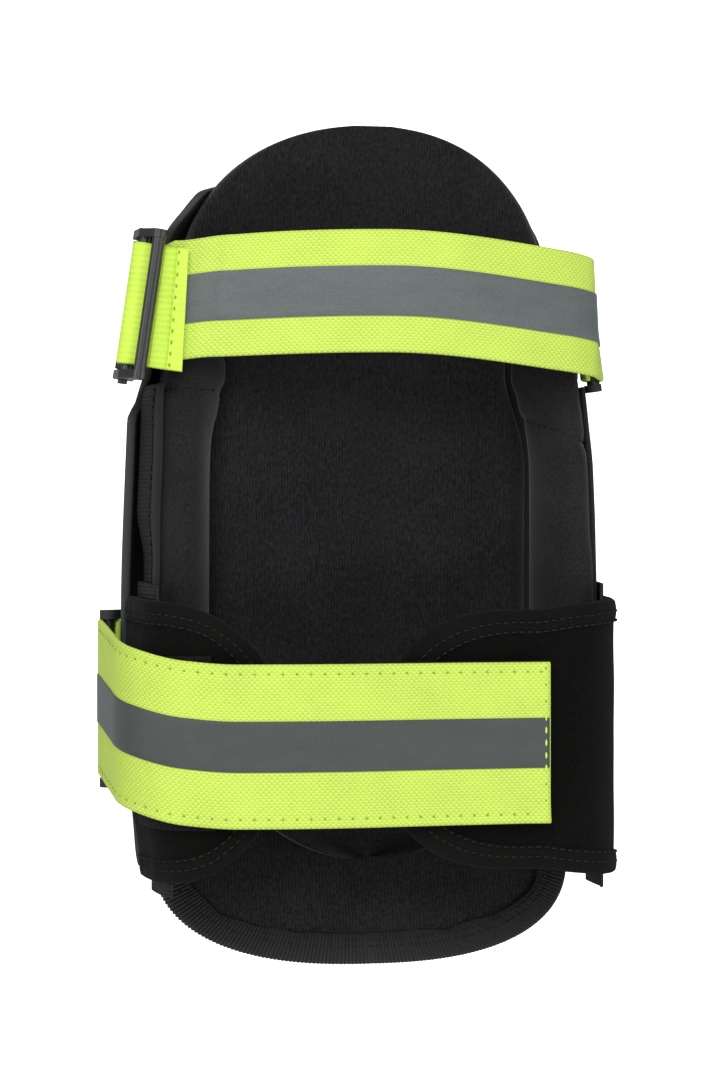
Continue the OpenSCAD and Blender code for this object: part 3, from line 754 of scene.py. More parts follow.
def finish(name):
    """The material of that name, made the first time it is asked for."""
    if name not in FINISHES:
        c = colours()
        makers = {
            "liner_knit": lambda n: knit(n, scaled(c.liner, 0.92)),
            "shin_knit": lambda n: knit(n, scaled(c.liner, 1.05), 1.1),
            "rail_jersey": lambda n: jersey(n, scaled(c.jersey, 0.75)),
            "wing_face": lambda n: brushed(n, scaled(c.wing, 0.85)),
            "wing_hem": lambda n: brushed(n, scaled(c.wing, 1.35), 0.5, 0.08, 0.1),
            "loop_pile": lambda n: loop_pile(n, scaled(c.wing, 1.5)),
            "hook_tape": lambda n: loop_pile(n, scaled(c.wing, 1.0)),
            "side_nylon": lambda n: woven(n, c.nylon),
            "side_neoprene": lambda n: neoprene(n, scaled(c.liner, 1.1)),
            "elastic": lambda n: elastic(n, scaled(c.elastic, 0.81)),
            "elastic_back": lambda n: elastic(n, c.elastic_back, 1.9, 0.9, 0.1),
            "reflective_tape": lambda n: reflective(n, scaled(c.tape, 0.8)),
            "lower_tape": lambda n: reflective(n, scaled(c.lower_tape, 0.74), 0.5),
            "binding": lambda n: grosgrain(n, scaled(c.jersey, 0.8)),
            "cap_rubber": lambda n: moulded(n, scaled(c.cap, 0.5)),
            "lug_rubber": lambda n: moulded(n, scaled(c.cap, 0.25), 0.6),
            "tread_rubber": lambda n: moulded(n, scaled(c.cap, 0.3), 0.7, 0.8),
            "slide_plastic": lambda n: moulded(n, scaled(c.plastic, 0.55), 0.22, 0.8, 0.5),
            "base_board": lambda n: moulded(n, scaled(c.cap, 0.8), 0.6),
            "steel": steel,
            "gel": gel,
            # Partly painted shade: the thread is black, and is made far darker than the black fabric to stand
            # for the shaded dimples the stitches sit in.
            "black_thread": lambda n: thread(n, scaled(c.wing, 0.1)),
            "pale_thread": lambda n: thread(n, scaled(c.elastic, 0.9)),
            # Partly painted shade: real hi-vis thread, darkened to stand for the shade in its stitch holes.
            "hi_vis_thread": lambda n: thread(n, scaled(c.elastic_back, 0.42)),
        }
        FINISHES[name] = makers[name](name)
    return FINISHES[name]


# ---- Stitches ----

def stitch_tree():
    """Geometry nodes that set one stitch at every pitch along the lines of a mesh."""
    tree = bpy.data.node_groups.get("Stitches")
    if tree:
        return tree
    tree = bpy.data.node_groups.new("Stitches", "GeometryNodeTree")
    face = tree.interface
    face.new_socket("Geometry", in_out="OUTPUT", socket_type="NodeSocketGeometry")
    face.new_socket("Geometry", in_out="INPUT", socket_type="NodeSocketGeometry")
    for name in ("Pitch", "Stitch length", "Thread"):
        face.new_socket(name, in_out="INPUT", socket_type="NodeSocketFloat")
    face.new_socket("Finish", in_out="INPUT", socket_type="NodeSocketMaterial")

    def node(kind, **values):
        made = tree.nodes.new(kind)
        for key, value in values.items():
            setattr(made, key, value)
        return made

    entry, leave = node("NodeGroupInput"), node("NodeGroupOutput")
    curve = node("GeometryNodeMeshToCurve")
    steps = node("GeometryNodeResampleCurve", mode="LENGTH")
    tangent = node("GeometryNodeInputTangent")
    turn = node("FunctionNodeAlignRotationToVector", axis="Z")
    size = node("ShaderNodeCombineXYZ")
    vary = node("FunctionNodeRandomValue", data_type="FLOAT")
    vary.inputs["Min"].default_value = 0.85
    scale = node("ShaderNodeVectorMath", operation="SCALE")
    ball = node("GeometryNodeMeshUVSphere")
    ball.inputs["Segments"].default_value = 8
    ball.inputs["Rings"].default_value = 6
    ball.inputs["Radius"].default_value = 0.5
    place = node("GeometryNodeInstanceOnPoints")
    real = node("GeometryNodeRealizeInstances")
    shade = node("GeometryNodeSetShadeSmooth")
    paint = node("GeometryNodeSetMaterial")
    for start, end in (
            (entry.outputs["Geometry"], curve.inputs[0]), (curve.outputs[0], steps.inputs["Curve"]),
            (entry.outputs["Pitch"], steps.inputs["Length"]), (tangent.outputs[0], turn.inputs["Vector"]),
            (entry.outputs["Thread"], size.inputs[0]), (entry.outputs["Thread"], size.inputs[1]),
            (entry.outputs["Stitch length"], size.inputs[2]), (size.outputs[0], scale.inputs[0]),
            (vary.outputs[1], scale.inputs["Scale"]), (steps.outputs[0], place.inputs["Points"]),
            (ball.outputs[0], place.inputs["Instance"]), (turn.outputs[0], place.inputs["Rotation"]),
            (scale.outputs[0], place.inputs["Scale"]), (place.outputs[0], real.inputs[0]),
            (real.outputs[0], shade.inputs[0]), (shade.outputs[0], paint.inputs[0]),
            (entry.outputs["Finish"], paint.inputs["Material"]), (paint.outputs[0], leave.inputs[0])):
        tree.links.new(start, end)
    return tree


def stitches(name, rows, material, pitch, reach=0.72):
    """Sews along rows of points in millimetres; reach is a stitch's share of the pitch."""
    points, edges = [], []
    for row in rows:
        first = len(points)
        points += [tuple(c * MM for c in p) for p in row]
        edges += [(i, i + 1) for i in range(first, len(points) - 1)]
    mesh = bpy.data.meshes.new(name)
    mesh.from_pydata(points, edges, [])
    piece = bpy.data.objects.new(name, mesh)
    bpy.context.scene.collection.objects.link(piece)
    modifier = piece.modifiers.new("stitches", "NODES")
    modifier.node_group = stitch_tree()
    values = {"Pitch": pitch, "Stitch length": pitch * reach, "Thread": sizes().thread, "Finish": material}
    for item in modifier.node_group.interface.items_tree:
        if item.in_out == "INPUT" and item.name in values:
            modifier[item.identifier] = values[item.name]
    return settle(piece)


def dropped(piece, row, above=0.1):
    """A row of (x, y) points let down on to a piece from above."""
    mesh = piece.data
    tree = BVHTree.FromPolygons([v.co for v in mesh.vertices], [p.vertices for p in mesh.polygons])
    found = []
    for x, y in row:
        hit = tree.ray_cast(Vector((x * MM, y * MM, 0.2)), Vector((0, 0, -1)))
        if hit[0] is not None:
            found.append((x, y, hit[0].z / MM + above))
    return found


# ---- Cap, tread and foam ----

def cad_finish(name, *nodes):
    """Gives CAD nodes that stay in view their finish."""
    for node in nodes:
        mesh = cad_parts[node].data
        mesh.materials.clear()
        mesh.materials.append(finish(name))


def build_cap():
    rings = []
    t = CAP_WALL
    for y in spread_ends(-CAP_REACH, CAP_REACH, 150):
        c = half_w(y) + cap_out(y)
        b = base_z(y) - 2 - t
        r = max(base_z(y) + cap_rise(y), b + t + 1)
        h = r - b
        half = [(0.25 * c, b + t), (0.58 * c, b + t),
                (0.84 * c - 0.7 * t, b + max(1.05 * t, 0.6 * t + 0.22 * h)),
                (0.96 * c - t, b + max(1.15 * t, 0.52 * h)), (c - 0.9 * t, r - 0.8), (c - 0.85 * t, r),
                (c - 0.1 * t, r), (c, r - 0.8), (0.975 * c, b + 0.5 * h), (0.87 * c, b + 0.17 * h),
                (0.6 * c, b), (0.25 * c, b)]
        snug = (half_w(y) + min(cap_out(y), ease(6.0, -2.0, (y - 66) / 14))) / c
        low = ease(0, 7, (y - 68) / 14)
        rings.append([(x * (snug if x > 0 else 1), y, z - low * clamp(x / 30) * clamp((z - b) / h))
                      for x, z in spline_ring(both_halves(half), 112)])
    cap = tube("cap", rings, [finish("cap_rubber")])
    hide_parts("cap_shell")
    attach(cap, "pad")
    cad_finish("tread_rubber", "tread_insert")
    cad_finish("base_board", "base_plate")
    build_core()
    cad_finish("gel", "gel_insert")


def build_core():
    """The foam body under the cushion and rails, in its smooth cover."""
    rings = []
    for y in spread_ends(-106, 125, 140):
        w, z, c = half_w(y), base_z(y), cushion_half_w(y)
        thigh = smooth(72, 92, y)
        shin = smooth(-68, -72, y)
        bed = ease(well_z(y) - 5, z + 7.6, shin)
        ledge = ease(ease(ledge_z(y) - 2, well_z(y) - 8, thigh), z + 7.6, shin)
        side = ease(ease(wall_x(y, z + 20) - 1, min(w - 1.5, dome_half_w(y) - 3), thigh), w - 6, shin)
        lip = max(min(c + 0.6, side - 2), side - 16)
        half = [(0.4 * side, bed), (min(0.9 * c, lip - 1), bed), (lip, ledge), (side - 1, ledge),
                (side, ledge - 2), (side, ease(z + 14, z + 6, max(shin, thigh))),
                (0.84 * w, z + 4), (0.6 * w, z), (0.3 * w, z)]
        rings.append([(x, y, z) for x, z in spline_ring(both_halves(half), 96)])
    core = tube("core", rings, [finish("side_neoprene")])
    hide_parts("foam_core")
    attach(core, "pad")


# ---- Cushion, shin panel and binding ----

trough = table((0, 0), (0.5, 1.5), (0.8, 5), (0.93, 7), (1, 5.5))
under_line = table((0.55, -6.6), (0.8, -2.6), (1, 1.6))


def cushion_top(y, s):
    return well_z(y) + ease(trough(s), 3, (y - 85) / 35) - ease(0, 4, (y - 96) / 34)


def cushion_half_w(y):
    if y < -52:
        return (rail_in(y) - 0.5) * sqrt(max(0.0004, 1 - ((-52 - y) / 50) ** 2))
    if y < 78:
        return rail_in(y) - 0.5
    return min(half_w(y) - 1.5, ease(rail_in(78) - 0.5, half_w(y) - 1.5, (y - 78) / 10))


def dome_half_w(y):
    """Half width of the cushion's cover, which reaches out over the cap's edge at the thigh end."""
    share = max(0, y - THIGH_MID) / (DOME_REACH - THIGH_MID)
    over = DOME_HALF_W * max(0, 1 - share ** DOME_POWER) ** (1 / DOME_POWER)
    return ease(cushion_half_w(y) + ease(1.0, 3.8, (y + 60) / 14), over, (y - 78) / 12)


def build_cushion():
    rings = []
    for y in spread_ends(-101.5, THIGH_REACH + 0.1, 112):
        c = dome_half_w(y)
        w = well_z(y)
        thigh = smooth(76, 96, y)
        tip = smooth(118, 131, y)
        thick = ease(1.6, -13, thigh)
        half = [(0.25 * c, cushion_top(y, 0.25) - tip), (0.5 * c, cushion_top(y, 0.5) - tip),
                (0.75 * c, cushion_top(y, 0.75) - tip), (0.92 * c, cushion_top(y, 0.93) - 1.5 * thigh - tip),
                (c, cushion_top(y, 1) - 3 * thigh), (c, w + thick),
                (0.9 * c, w + min(thick, under_line(0.9)) - 1), (0.75 * c, w + under_line(0.75) - 3 * thigh),
                (0.5 * c, w - 7), (0.2 * c, w - 7)]
        rings.append([(x, y, z) for x, z in spline_ring(both_halves(half), 88)])
    cushion = tube("cushion", rings, [finish("liner_knit")])
    swell(cushion, 0, 3.0, lambda x, y, z: z < well_z(y) - 2.5 or y > 94 or y < -93, pressure=2.5)
    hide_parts("knee_cushion")
    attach(cushion, "pad")


def shin_top(y):
    return base_z(y) + 13


def shin_under(y):
    return base_z(y) + 8


def shin_edge(a, d):
    """The shin end's outline, a radians round it from the right side, inset by d."""
    c, s = cos(a), sin(a)
    return ((SHIN_HALF_W - d) * (1 if c > 0 else -1) * abs(c) ** 0.8,
            SHIN_MID - (SHIN_REACH + SHIN_MID - d) * abs(s) ** 0.8)


def build_shin_panel():
    reach = SHIN_REACH + SHIN_MID - 1.6
    ys = spread(-70.5, -97, 10) + [SHIN_MID - reach * sin(radians(a)) for a in range(0, 86, 3)]
    rings = []
    for y in ys:
        share = max(0.000001, 1 - (max(0, SHIN_MID - y) / reach) ** 2.5) ** 0.4
        w = half_w(y) - 1.6 if y > SHIN_MID else (SHIN_HALF_W - 1.6) * share
        half = [(w * k, shin_top(y) - 0.3) for k in (0.3, 0.6, 0.88)]
        half += [(w, shin_top(y) - 1.2), (w, shin_under(y) + 1)]
        half += [(w * k, shin_under(y)) for k in (0.88, 0.6, 0.3)]
        rings.append([(x, y, z) for x, z in spline_ring(both_halves(half), 90)])
    panel = tube("shin_pad", rings, [finish("shin_knit")])

    def held(x, y, z):
        return z < base_z(y) + 9.5 or abs(x) > half_w(y) - 10 or y < -124
    swell(panel, 3.0, 1.6, held, pressure=2.0)
    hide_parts("shin_panel")
    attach(panel, "pad")


def build_binding():
    width = sizes().binding_width / MM
    # Inset from the panel's edge, share of the way up its side, and height off its face
    hoop = [(width, 1, 0.1), (width, 1, 0.8), (width - 0.5, 1, 1.15), (width * 0.75, 1, 1.2),
            (width * 0.5, 1, 1.2), (width * 0.25, 1, 1.2), (1.0, 1, 1.05), (0.2, 1, 0.4), (0.0, 0.75, 0),
            (0.0, 0.25, 0), (0.2, 0, -0.4), (1.0, 0, -1.05), (width * 0.5, 0, -1.2), (width - 0.5, 0, -1.1),
            (width, 0, -0.7), (width, 0, -0.1), (2.2, 0, 0.2), (2.2, 1, -0.2)]
    first, last = radians(2.5), radians(177.5)
    outline = [shin_edge(a, 0) for a in spread(first, last, 1400)]
    run = [0.0]
    for (xa, ya), (xb, yb) in zip(outline, outline[1:]):
        run.append(run[-1] + hypot(xb - xa, yb - ya))
    rings = []
    for a, s in zip(spread(first, last, 1400), run):
        rib = 0.26 * sin(2 * pi * s / RIB_PITCH)
        pull = noise.noise(Vector((s / 12, 0, 3.1)))
        ring = []
        for d, up, off in hoop:
            d = d * (1 + 0.16 * pull)
            off = off * (1 + 0.35 * pull)
            x, y = shin_edge(a, d)
            top, under = shin_top(y), shin_under(y)
            lift = off + (rib if off > 0.5 else -rib if off < -0.5 else 0)
            side = rib if d < 0.1 else 0
            z = under + (top - under) * up + lift
            ring.append((x * (1 + side / SHIN_HALF_W), y - side * (1 if y < SHIN_MID else 0), z))
        rings.append(ring)
    tape = tube("binding", rings, [finish("binding")], along=run)
    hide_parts("edge_binding")
    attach(tape, "pad")
    seams = []
    for inset in (width - 1.6, width - 3.6):
        row = [shin_edge(a, inset) for a in spread(radians(4), radians(176), 160)]
        seams.append(dropped(tape, row, 0.08))
    return seams


# ---- Rails and side walls ----

def rail_ring(y, side):
    w, t, f, i = half_w(y), rail_z(y), ledge_z(y) + 0.3, rail_in(y)
    h = t - f
    foot = wall_x(y, f, side) - 0.2
    w += 2.0 * (side > 0)
    return [(foot, f), (foot, f + 0.3 * h), (w, t - min(4, 0.4 * h)), (w - 1, t - min(0.8, 0.1 * h)),
            (w - 4.5, t + 0.4), (w - 9, t - min(0.2, 0.1 * h)), (max(i + 3, w - 12.5), t - min(4, 0.4 * h)),
            (i + 2, f + 0.38 * h), (i - 0.5, f), (i + 2, f - 2.5), (foot - 3, f - 2.5)]


def near_segment(x, y, a, b):
    """Distance from (x, y) to the line from a to b."""
    dx, dy = b[0] - a[0], b[1] - a[1]
    t = clamp(((x - a[0]) * dx + (y - a[1]) * dy) / (dx * dx + dy * dy))
    return hypot(x - a[0] - t * dx, y - a[1] - t * dy)


WALL_FABRIC = 1.2
BODY_STITCH = 0.0026        # pitch of the black stitches, in metres
RAIL_SEAMS = {1: ((49, 39), (69, 30)), -1: ((-49, 47), (-69, 47))}


def build_rails():
    seams = []
    for side, name in ((1, "right"), (-1, "left")):
        ys = spread(-94, 62, 78)
        rings = [[(x * side, y, z) for x, z in spline_ring(rail_ring(y, side), 48)] for y in ys]
        rail = tube(name + "_rail_pad", rings, [finish("rail_jersey")])
        swell(rail, 3.5, 1.6, lambda x, y, z: z < ledge_z(y) + 3 or y > 58 or y < -88, pressure=3.0)
        a, b = RAIL_SEAMS[side]
        press(rail, lambda x, y: -0.9 * exp(-(near_segment(x, y, a, b) / 1.5) ** 2))
        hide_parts(name + "_rail")
        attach(rail, "pad")
        row = [(a[0] + (b[0] - a[0]) * t, a[1] + (b[1] - a[1]) * t) for t in spread(0.12, 0.92, 24)]
        seams.append(dropped(rail, row, 0.1))
    return seams


def seam_z(y):
    return rail_z(y) - (rail_z(y) - ledge_z(y)) / 2


def band_top(y):
    return rail_z(y) - (rail_z(y) - ledge_z(y)) / 6


def wall_sheet(name, side, low, high, thickness, material):
    """A strip of fabric over the side wall, from low(y) up to high(y)."""
    rings = []
    for y in spread(*WALL_ENDS, 110):
        z0, z1 = low(y), high(y)
        a = Vector((wall_x(y, z0, side) + 0.25 + thickness / 2, 0, z0))
        b = Vector((wall_x(y, z1, side) + 0.25 + thickness / 2, 0, z1))
        up = (b - a).normalized()
        out = Vector((up.z, 0, -up.x))
        middle = (a + b) / 2
        ring = []
        for v, lift in band_profile((b - a).length, thickness, 8):
            p = middle + up * v + out * (lift + 0.35 * (1 - (2 * v / max(1, (b - a).length)) ** 2))
            ring.append((p.x * side, y, p.z))
        rings.append(ring)
    return tube(name, rings, [material])


def build_side_walls():
    rows = []
    wall_length = WALL_ENDS[1] - WALL_ENDS[0]
    heights = [seam_z(y) - base_z(y) - cap_rise(y) for y in spread(*WALL_ENDS, 50)]
    for side, name in ((1, "right"), (-1, "left")):
        cover = wall_sheet(name + "_cover", side, lambda y: base_z(y) + cap_rise(y) + 0.2,
                           lambda y: seam_z(y) - 0.2, WALL_FABRIC, finish("side_nylon"))
        top = wall_sheet(name + "_band", side, lambda y: seam_z(y) - 0.1, band_top, WALL_FABRIC,
                         finish("side_neoprene"))
        for piece, node, slot in ((cover, "_side_cover", "woven_nylon"),
                                  (top, "_side_band", "smooth_neoprene")):
            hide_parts(name + node)
            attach(piece, "pad")
        sum(heights) / len(heights) * wall_length * MM * MM
        row = []
        for k, y in enumerate(spread(-80, 47, 84)):
            z = seam_z(y) + (1.1 if k % 2 else -1.1)
            row.append(((wall_x(y, z, side) + 1.75) * side, y, z))
        rows.append(row)
    return rows


# ---- Wings ----

WING_LINE = Path((75.6, 38, 92), (20, 4), (24, 84), (62, -4))
WING_MID = -62
RIGHT_WING = (105, 62)      # length from the hinge, and where the outline starts to round off
LEFT_WING = (68, 30)
wing_height = table((0, 44), (28, 43), (44, 41.5), (56, 40))


def wing_half_h(u, tip, rounding):
    share = 1 if u < rounding else max(0.0003, 1 - ((u - rounding) / (tip - rounding)) ** 2.4) ** (1 / 2.4)
    return wing_height(u) * share


def wing_point(side, u, v, lift):
    """A point on a wing; the left one draws in towards the shin end, as the body does."""
    x, z, heading = WING_LINE.at(u)
    h = radians(heading)
    draw = 4.5 * smooth(-5, -44, v) * smooth(70, 20, u) if side < 0 else 0
    return ((x - draw + lift * sin(h)) * side, WING_MID + v, z - lift * cos(h))


def wing_piece(name, side, us, half, level, thickness, material, ripple=None):
    """A sheet on a wing's line. half(u) is its half height, and level its distance off the wing's middle."""
    rings = []
    for u in us:
        profile = band_profile(2 * max(half(u), 0.8 * thickness), thickness, 28)
        rings.append([wing_point(side, u, v, level + lift + (ripple(u, v) if ripple else 0))
                      for v, lift in profile])
    return tube(name, rings, [material], [v for v, _ in band_profile(60, thickness, 28)], us)


def hem_outline(tip, rounding, width, count=60):
    """Pairs of outer and inner points round a wing, as (u, v), from the lower root to the upper root."""
    half = []
    for u in spread(-1, rounding, count):
        h = wing_half_h(u, tip, rounding)
        half.append(((u, h), (u, h - width)))
    inner = wing_half_h(rounding, tip, rounding) - width
    for k in range(1, count + 1):
        a = radians(90 * k / count)
        u = rounding + (tip - rounding) * sin(a)
        iu = rounding + (tip - width - rounding) * sin(a)
        half.append(((u, wing_half_h(u, tip, rounding)), (iu, inner * max(0, cos(a)) ** (2 / 2.4))))
    under = [((u, -v), (iu, -iv)) for (u, v), (iu, iv) in half]
    return under + half[-2::-1]


def build_wings():
    for side, name, (tip, rounding) in ((1, "right", RIGHT_WING), (-1, "left", LEFT_WING)):
        t = sizes().wing_thickness / MM
        hem_w = sizes().hem_width / MM
        us = spread(-5, rounding, 60)
        us += [rounding + (tip - 0.6 - rounding) * sin(pi / 2 * k / 24) for k in range(1, 25)]

        def ripple(u, v):
            return 0.35 * noise.noise(Vector((u / 17, v / 17, side * 3.0)))
        wing = wing_piece(name + "_wing_sheet", side, us, lambda u: wing_half_h(u, tip, rounding) - 0.6,
                          0, t, finish("wing_face"), ripple)
        outline = hem_outline(tip, rounding, hem_w)
        fold = [(0.0, 0.5), (0.1, 0.85), (0.35, 1.0), (0.7, 1.0), (0.93, 0.85), (1.02, 0.45), (1.05, 0.0),
                (1.02, -0.45), (0.93, -0.85), (0.7, -1.0), (0.35, -1.0), (0.1, -0.85), (0.0, -0.5)]
        rings = []
        run = [0.0]
        for k, ((u, v), (iu, iv)) in enumerate(outline):
            if k:
                last = outline[k - 1][0]
                run.append(run[-1] + hypot(u - last[0], v - last[1]))
            pucker = 1 + 0.06 * sin(run[-1] / 1.6)
            ring = []
            for share, lift in fold:
                a, b = iu + (u - iu) * share, iv + (v - iv) * share
                ring.append(wing_point(side, a, b, lift * (t / 2 + 0.75) * pucker))
            rings.append(ring)
        hem = tube(name + "_hem", rings, [finish("wing_hem")], along=run)
        gusset = wing_piece(name + "_corner", side, spread(-3, 26, 30), lambda u: wing_height(u) + 5,
                            -t / 2 - 0.8, 0.9, finish("side_nylon"))
        if side > 0:
            span, patch_half_h = spread(60, tip - 15, 24), 22
        else:
            span, patch_half_h = spread(10, tip - 22, 30), 26.5
        patch = wing_piece(name + "_loops", side, span, lambda u: patch_half_h, t / 2 + 0.4, 0.9,
                           finish("loop_pile"))
        seams = []
        for inset in (3.6, 6.6):
            row = []
            for (u, v), (iu, iv) in outline:
                share = 1 - inset / hem_w
                row.append(wing_point(side, iu + (u - iu) * share, iv + (v - iv) * share, t / 2 + 0.85))
            seams.append(row)
        thread = stitches(name + "_wing_stitches", seams, finish("black_thread"), BODY_STITCH)
        nodes = {wing: "_wing", hem: "_wing_hem", gusset: "_gusset"}
        for piece in (wing, hem, gusset, patch, thread):
            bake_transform(piece)
            if piece in nodes:
                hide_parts(name + nodes[piece])
        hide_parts("right_loop_panel" if side > 0 else "left_loop_patch")
        heights = [2 * wing_half_h(u, tip, rounding) for u in spread(0, tip, 200)]
        area = sum(heights) / len(heights) * (tip + 5) * MM * MM


# ---- Lower strap ----

BAR_TURN = 2.9              # radius at which the webbing turns round a bar
LOWER_LINE = Path((-78.1, 19, -90), (1, 0), (BAR_TURN * pi, -180), (37, -4), (30, -70), (62, -22), (53, 5))
lower_mid = table((0, -50.2), (9, -50.4), (38, -53.6), (60, -58), (78, -61.6), (94, -62.7))


def reverse_face(station, v, z):
    """Picks the second finish for the underside of a band."""
    return 1 if z < 0 else 0


def build_lower_strap():
    end = LOWER_LINE.length
    width = sizes().lower_width / MM
    t = sizes().webbing / MM
    line = stations(LOWER_LINE, 0, end, 1.5, lower_mid)
    tape_w = sizes().tape_width / MM

    def lift(station, v):
        """The two long seams draw the webbing in a little, and the free corner turns up."""
        edge = abs(v) - (width / 2 - 3)
        corner = smooth(end - 9, end, station.along) * smooth(-width / 2 + 8, -width / 2, v)
        return -0.18 * exp(-(edge / 0.9) ** 2) * (station.along > 12) + 0.9 * corner

    strap = band("lower_webbing", line, width, t, [finish("elastic"), finish("elastic_back")], lift,
                 pick=reverse_face, count=50)
    taped = stations(LOWER_LINE, 12, end - 0.4, 1.5, lower_mid, level=t / 2 + 0.22)
    tape = band("lower_tape", taped, tape_w, 0.35, [finish("lower_tape")], count=10)
    hooked = stations(LOWER_LINE, end - 62, end - 0.5, 1.5, lower_mid, level=-t / 2 - 0.5)
    hook = band("lower_hooks", hooked, width + 0.6, 0.9, [finish("hook_tape")],
                lambda s, v: 0.12 * noise.noise(Vector((s.along, v, 0)) * 0.8), count=40)
    long_rows = [[tuple(s.point(v, t / 2 - 0.02)) for s in line if s.along > 14 and s.along < end - 2]
                 for v in (-width / 2 + 3, width / 2 - 3)]
    last = line[-2]
    cross = [[tuple(last.point(v, t / 2 - 0.02))
              for v in spread(side * tape_w / 2, side * (width / 2 - 2), 12)]
             for side in (-1, 1)]
    bright = [tuple(last.point(v, t / 2 + 0.3)) for v in spread(-tape_w / 2, tape_w / 2, 12)]
    # Short stitches in darkened thread: painted shade of the stitch holes.
    holes = stitches("lower_stitches", long_rows + cross, finish("hi_vis_thread"), sizes().stitch_pitch, 0.2)
    dashes = stitches("lower_end_stitches", [bright], finish("pale_thread"), 0.0036, 0.62)
    for piece, node, slot in ((strap, "lower_strap", "hi_vis_elastic"),
                              (tape, "lower_strap_tape", "reflective_tape"),
                              (hook, "lower_strap_hook", "hook_tape")):
        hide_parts(node)
    for piece in (strap, tape, hook, holes, dashes):
        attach(piece, "lower_strap")


# ---- Upper strap, slide and lugs ----

SLANT = -8.3
SLIDE_AT = (-73.2, 72.5, 62)
UPPER_LINE = Path((-67.4, 56.7, 4), (12, 8), (13, 13), (103, -44), (10, -16), (6, -40), (16, -2),
                  (BAR_TURN * radians(200), -200), (4, 0))
WRAP_LINE = Path((2.2, -5.3, 180), (0.4, 0), (3.2, 72), (BAR_TURN * radians(252), -252), (5.8, 0))
upper_mid = table((0, 74), (16, 75.6), (70, 76.8), (128, 72), (150, 70))
upper_lean = table((0, -SLANT), (40, 0), (124, 0), (143, -2.5), (156, SLANT))


def slide_place():
    return Matrix.Translation(SLIDE_AT) @ Matrix.Rotation(radians(SLANT), 4, "Z")


def tail_line():
    x, z, heading = WRAP_LINE.at(WRAP_LINE.length)
    return Path((x + 0.1, z, heading), (8.9, 12))


def on_axis(u):
    """The middle line of a band that lies square to the slide."""
    return 0.0


def build_upper_strap():
    width = sizes().upper_width / MM
    t = sizes().webbing / MM
    tape_w = sizes().tape_width / MM
    end = UPPER_LINE.length
    main = stations(UPPER_LINE, 0, end, 1.2, upper_mid, upper_lean)
    wrap = stations(WRAP_LINE, 0, WRAP_LINE.length, 0.6, on_axis, flip=-1, place=slide_place())
    for station in wrap:
        station.along = -3.6 - station.along
    line = wrap[::-1] + main

    def lift(station, v):
        """A soft crease where the webbing comes out from under the slide's bar."""
        return 0.5 * exp(-((station.along - 17 - v * 0.05) / 1.3) ** 2)

    strap = band("upper_webbing", line, width, t, [finish("elastic"), finish("elastic_back")], lift,
                 pick=reverse_face, count=40)
    taped = stations(UPPER_LINE, 4, end - 12, 1.2, upper_mid, upper_lean, level=t / 2 + 0.24)
    tape = band("upper_tape", taped, tape_w, 0.35, [finish("reflective_tape")], lift, count=10)
    for piece in (strap, tape):
        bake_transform(piece)
    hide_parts("upper_strap", "strap_return")
    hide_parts("upper_strap_tape")
    tail = tail_line()

    def fan(u):
        """The free end of the tail stands a little squarer than the slide."""
        return -5.0 * u / tail.length

    def tail_band(first, last, step, level=0.0):
        return stations(tail, first, last, step, on_axis, fan, place=slide_place(), level=level)

    flap = band("tail_webbing", tail_band(0, tail.length, 0.5), width, t, [finish("elastic_back")], count=40)
    hemmed = tail_band(tail.length - 4, tail.length + 0.3, 0.4, t * 0.72)
    hem = band("tail_fold", hemmed, width, t * 0.8, [finish("elastic_back")], count=40)
    sewn = tail_band(tail.length - 3.2, tail.length - 3, 0.1, t * 1.12)
    row = [tuple(sewn[0].point(v, 0)) for v in spread(-width / 2 + 1.5, width / 2 - 1.5, 20)]
    # Short stitches in darkened thread: painted shade of the stitch holes along the fold.
    holes = stitches("tail_stitches", [row], finish("hi_vis_thread"), 0.0034, 0.4)
    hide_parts("strap_tail")
    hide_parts("tail_hem")
    for piece in (flap, hem, holes):
        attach(piece, "tail")


def build_hardware():
    cad_finish("lug_rubber", "upper_left_lug", "upper_right_lug", "lower_left_lug")
    cad_finish("slide_plastic", "strap_slide")
    cad_finish("steel", "slide_pin", "upper_right_bar", "lower_left_bar", "lug_rivets", "rivet_washers")


# ---- Stage ----

FLOOR_Z = -0.0006
CAMERA_AT = (-0.1786, 0, 0.9435)
CAMERA_TILT = 11            # degrees from straight above, towards the left
CAMERA_LENS = 96


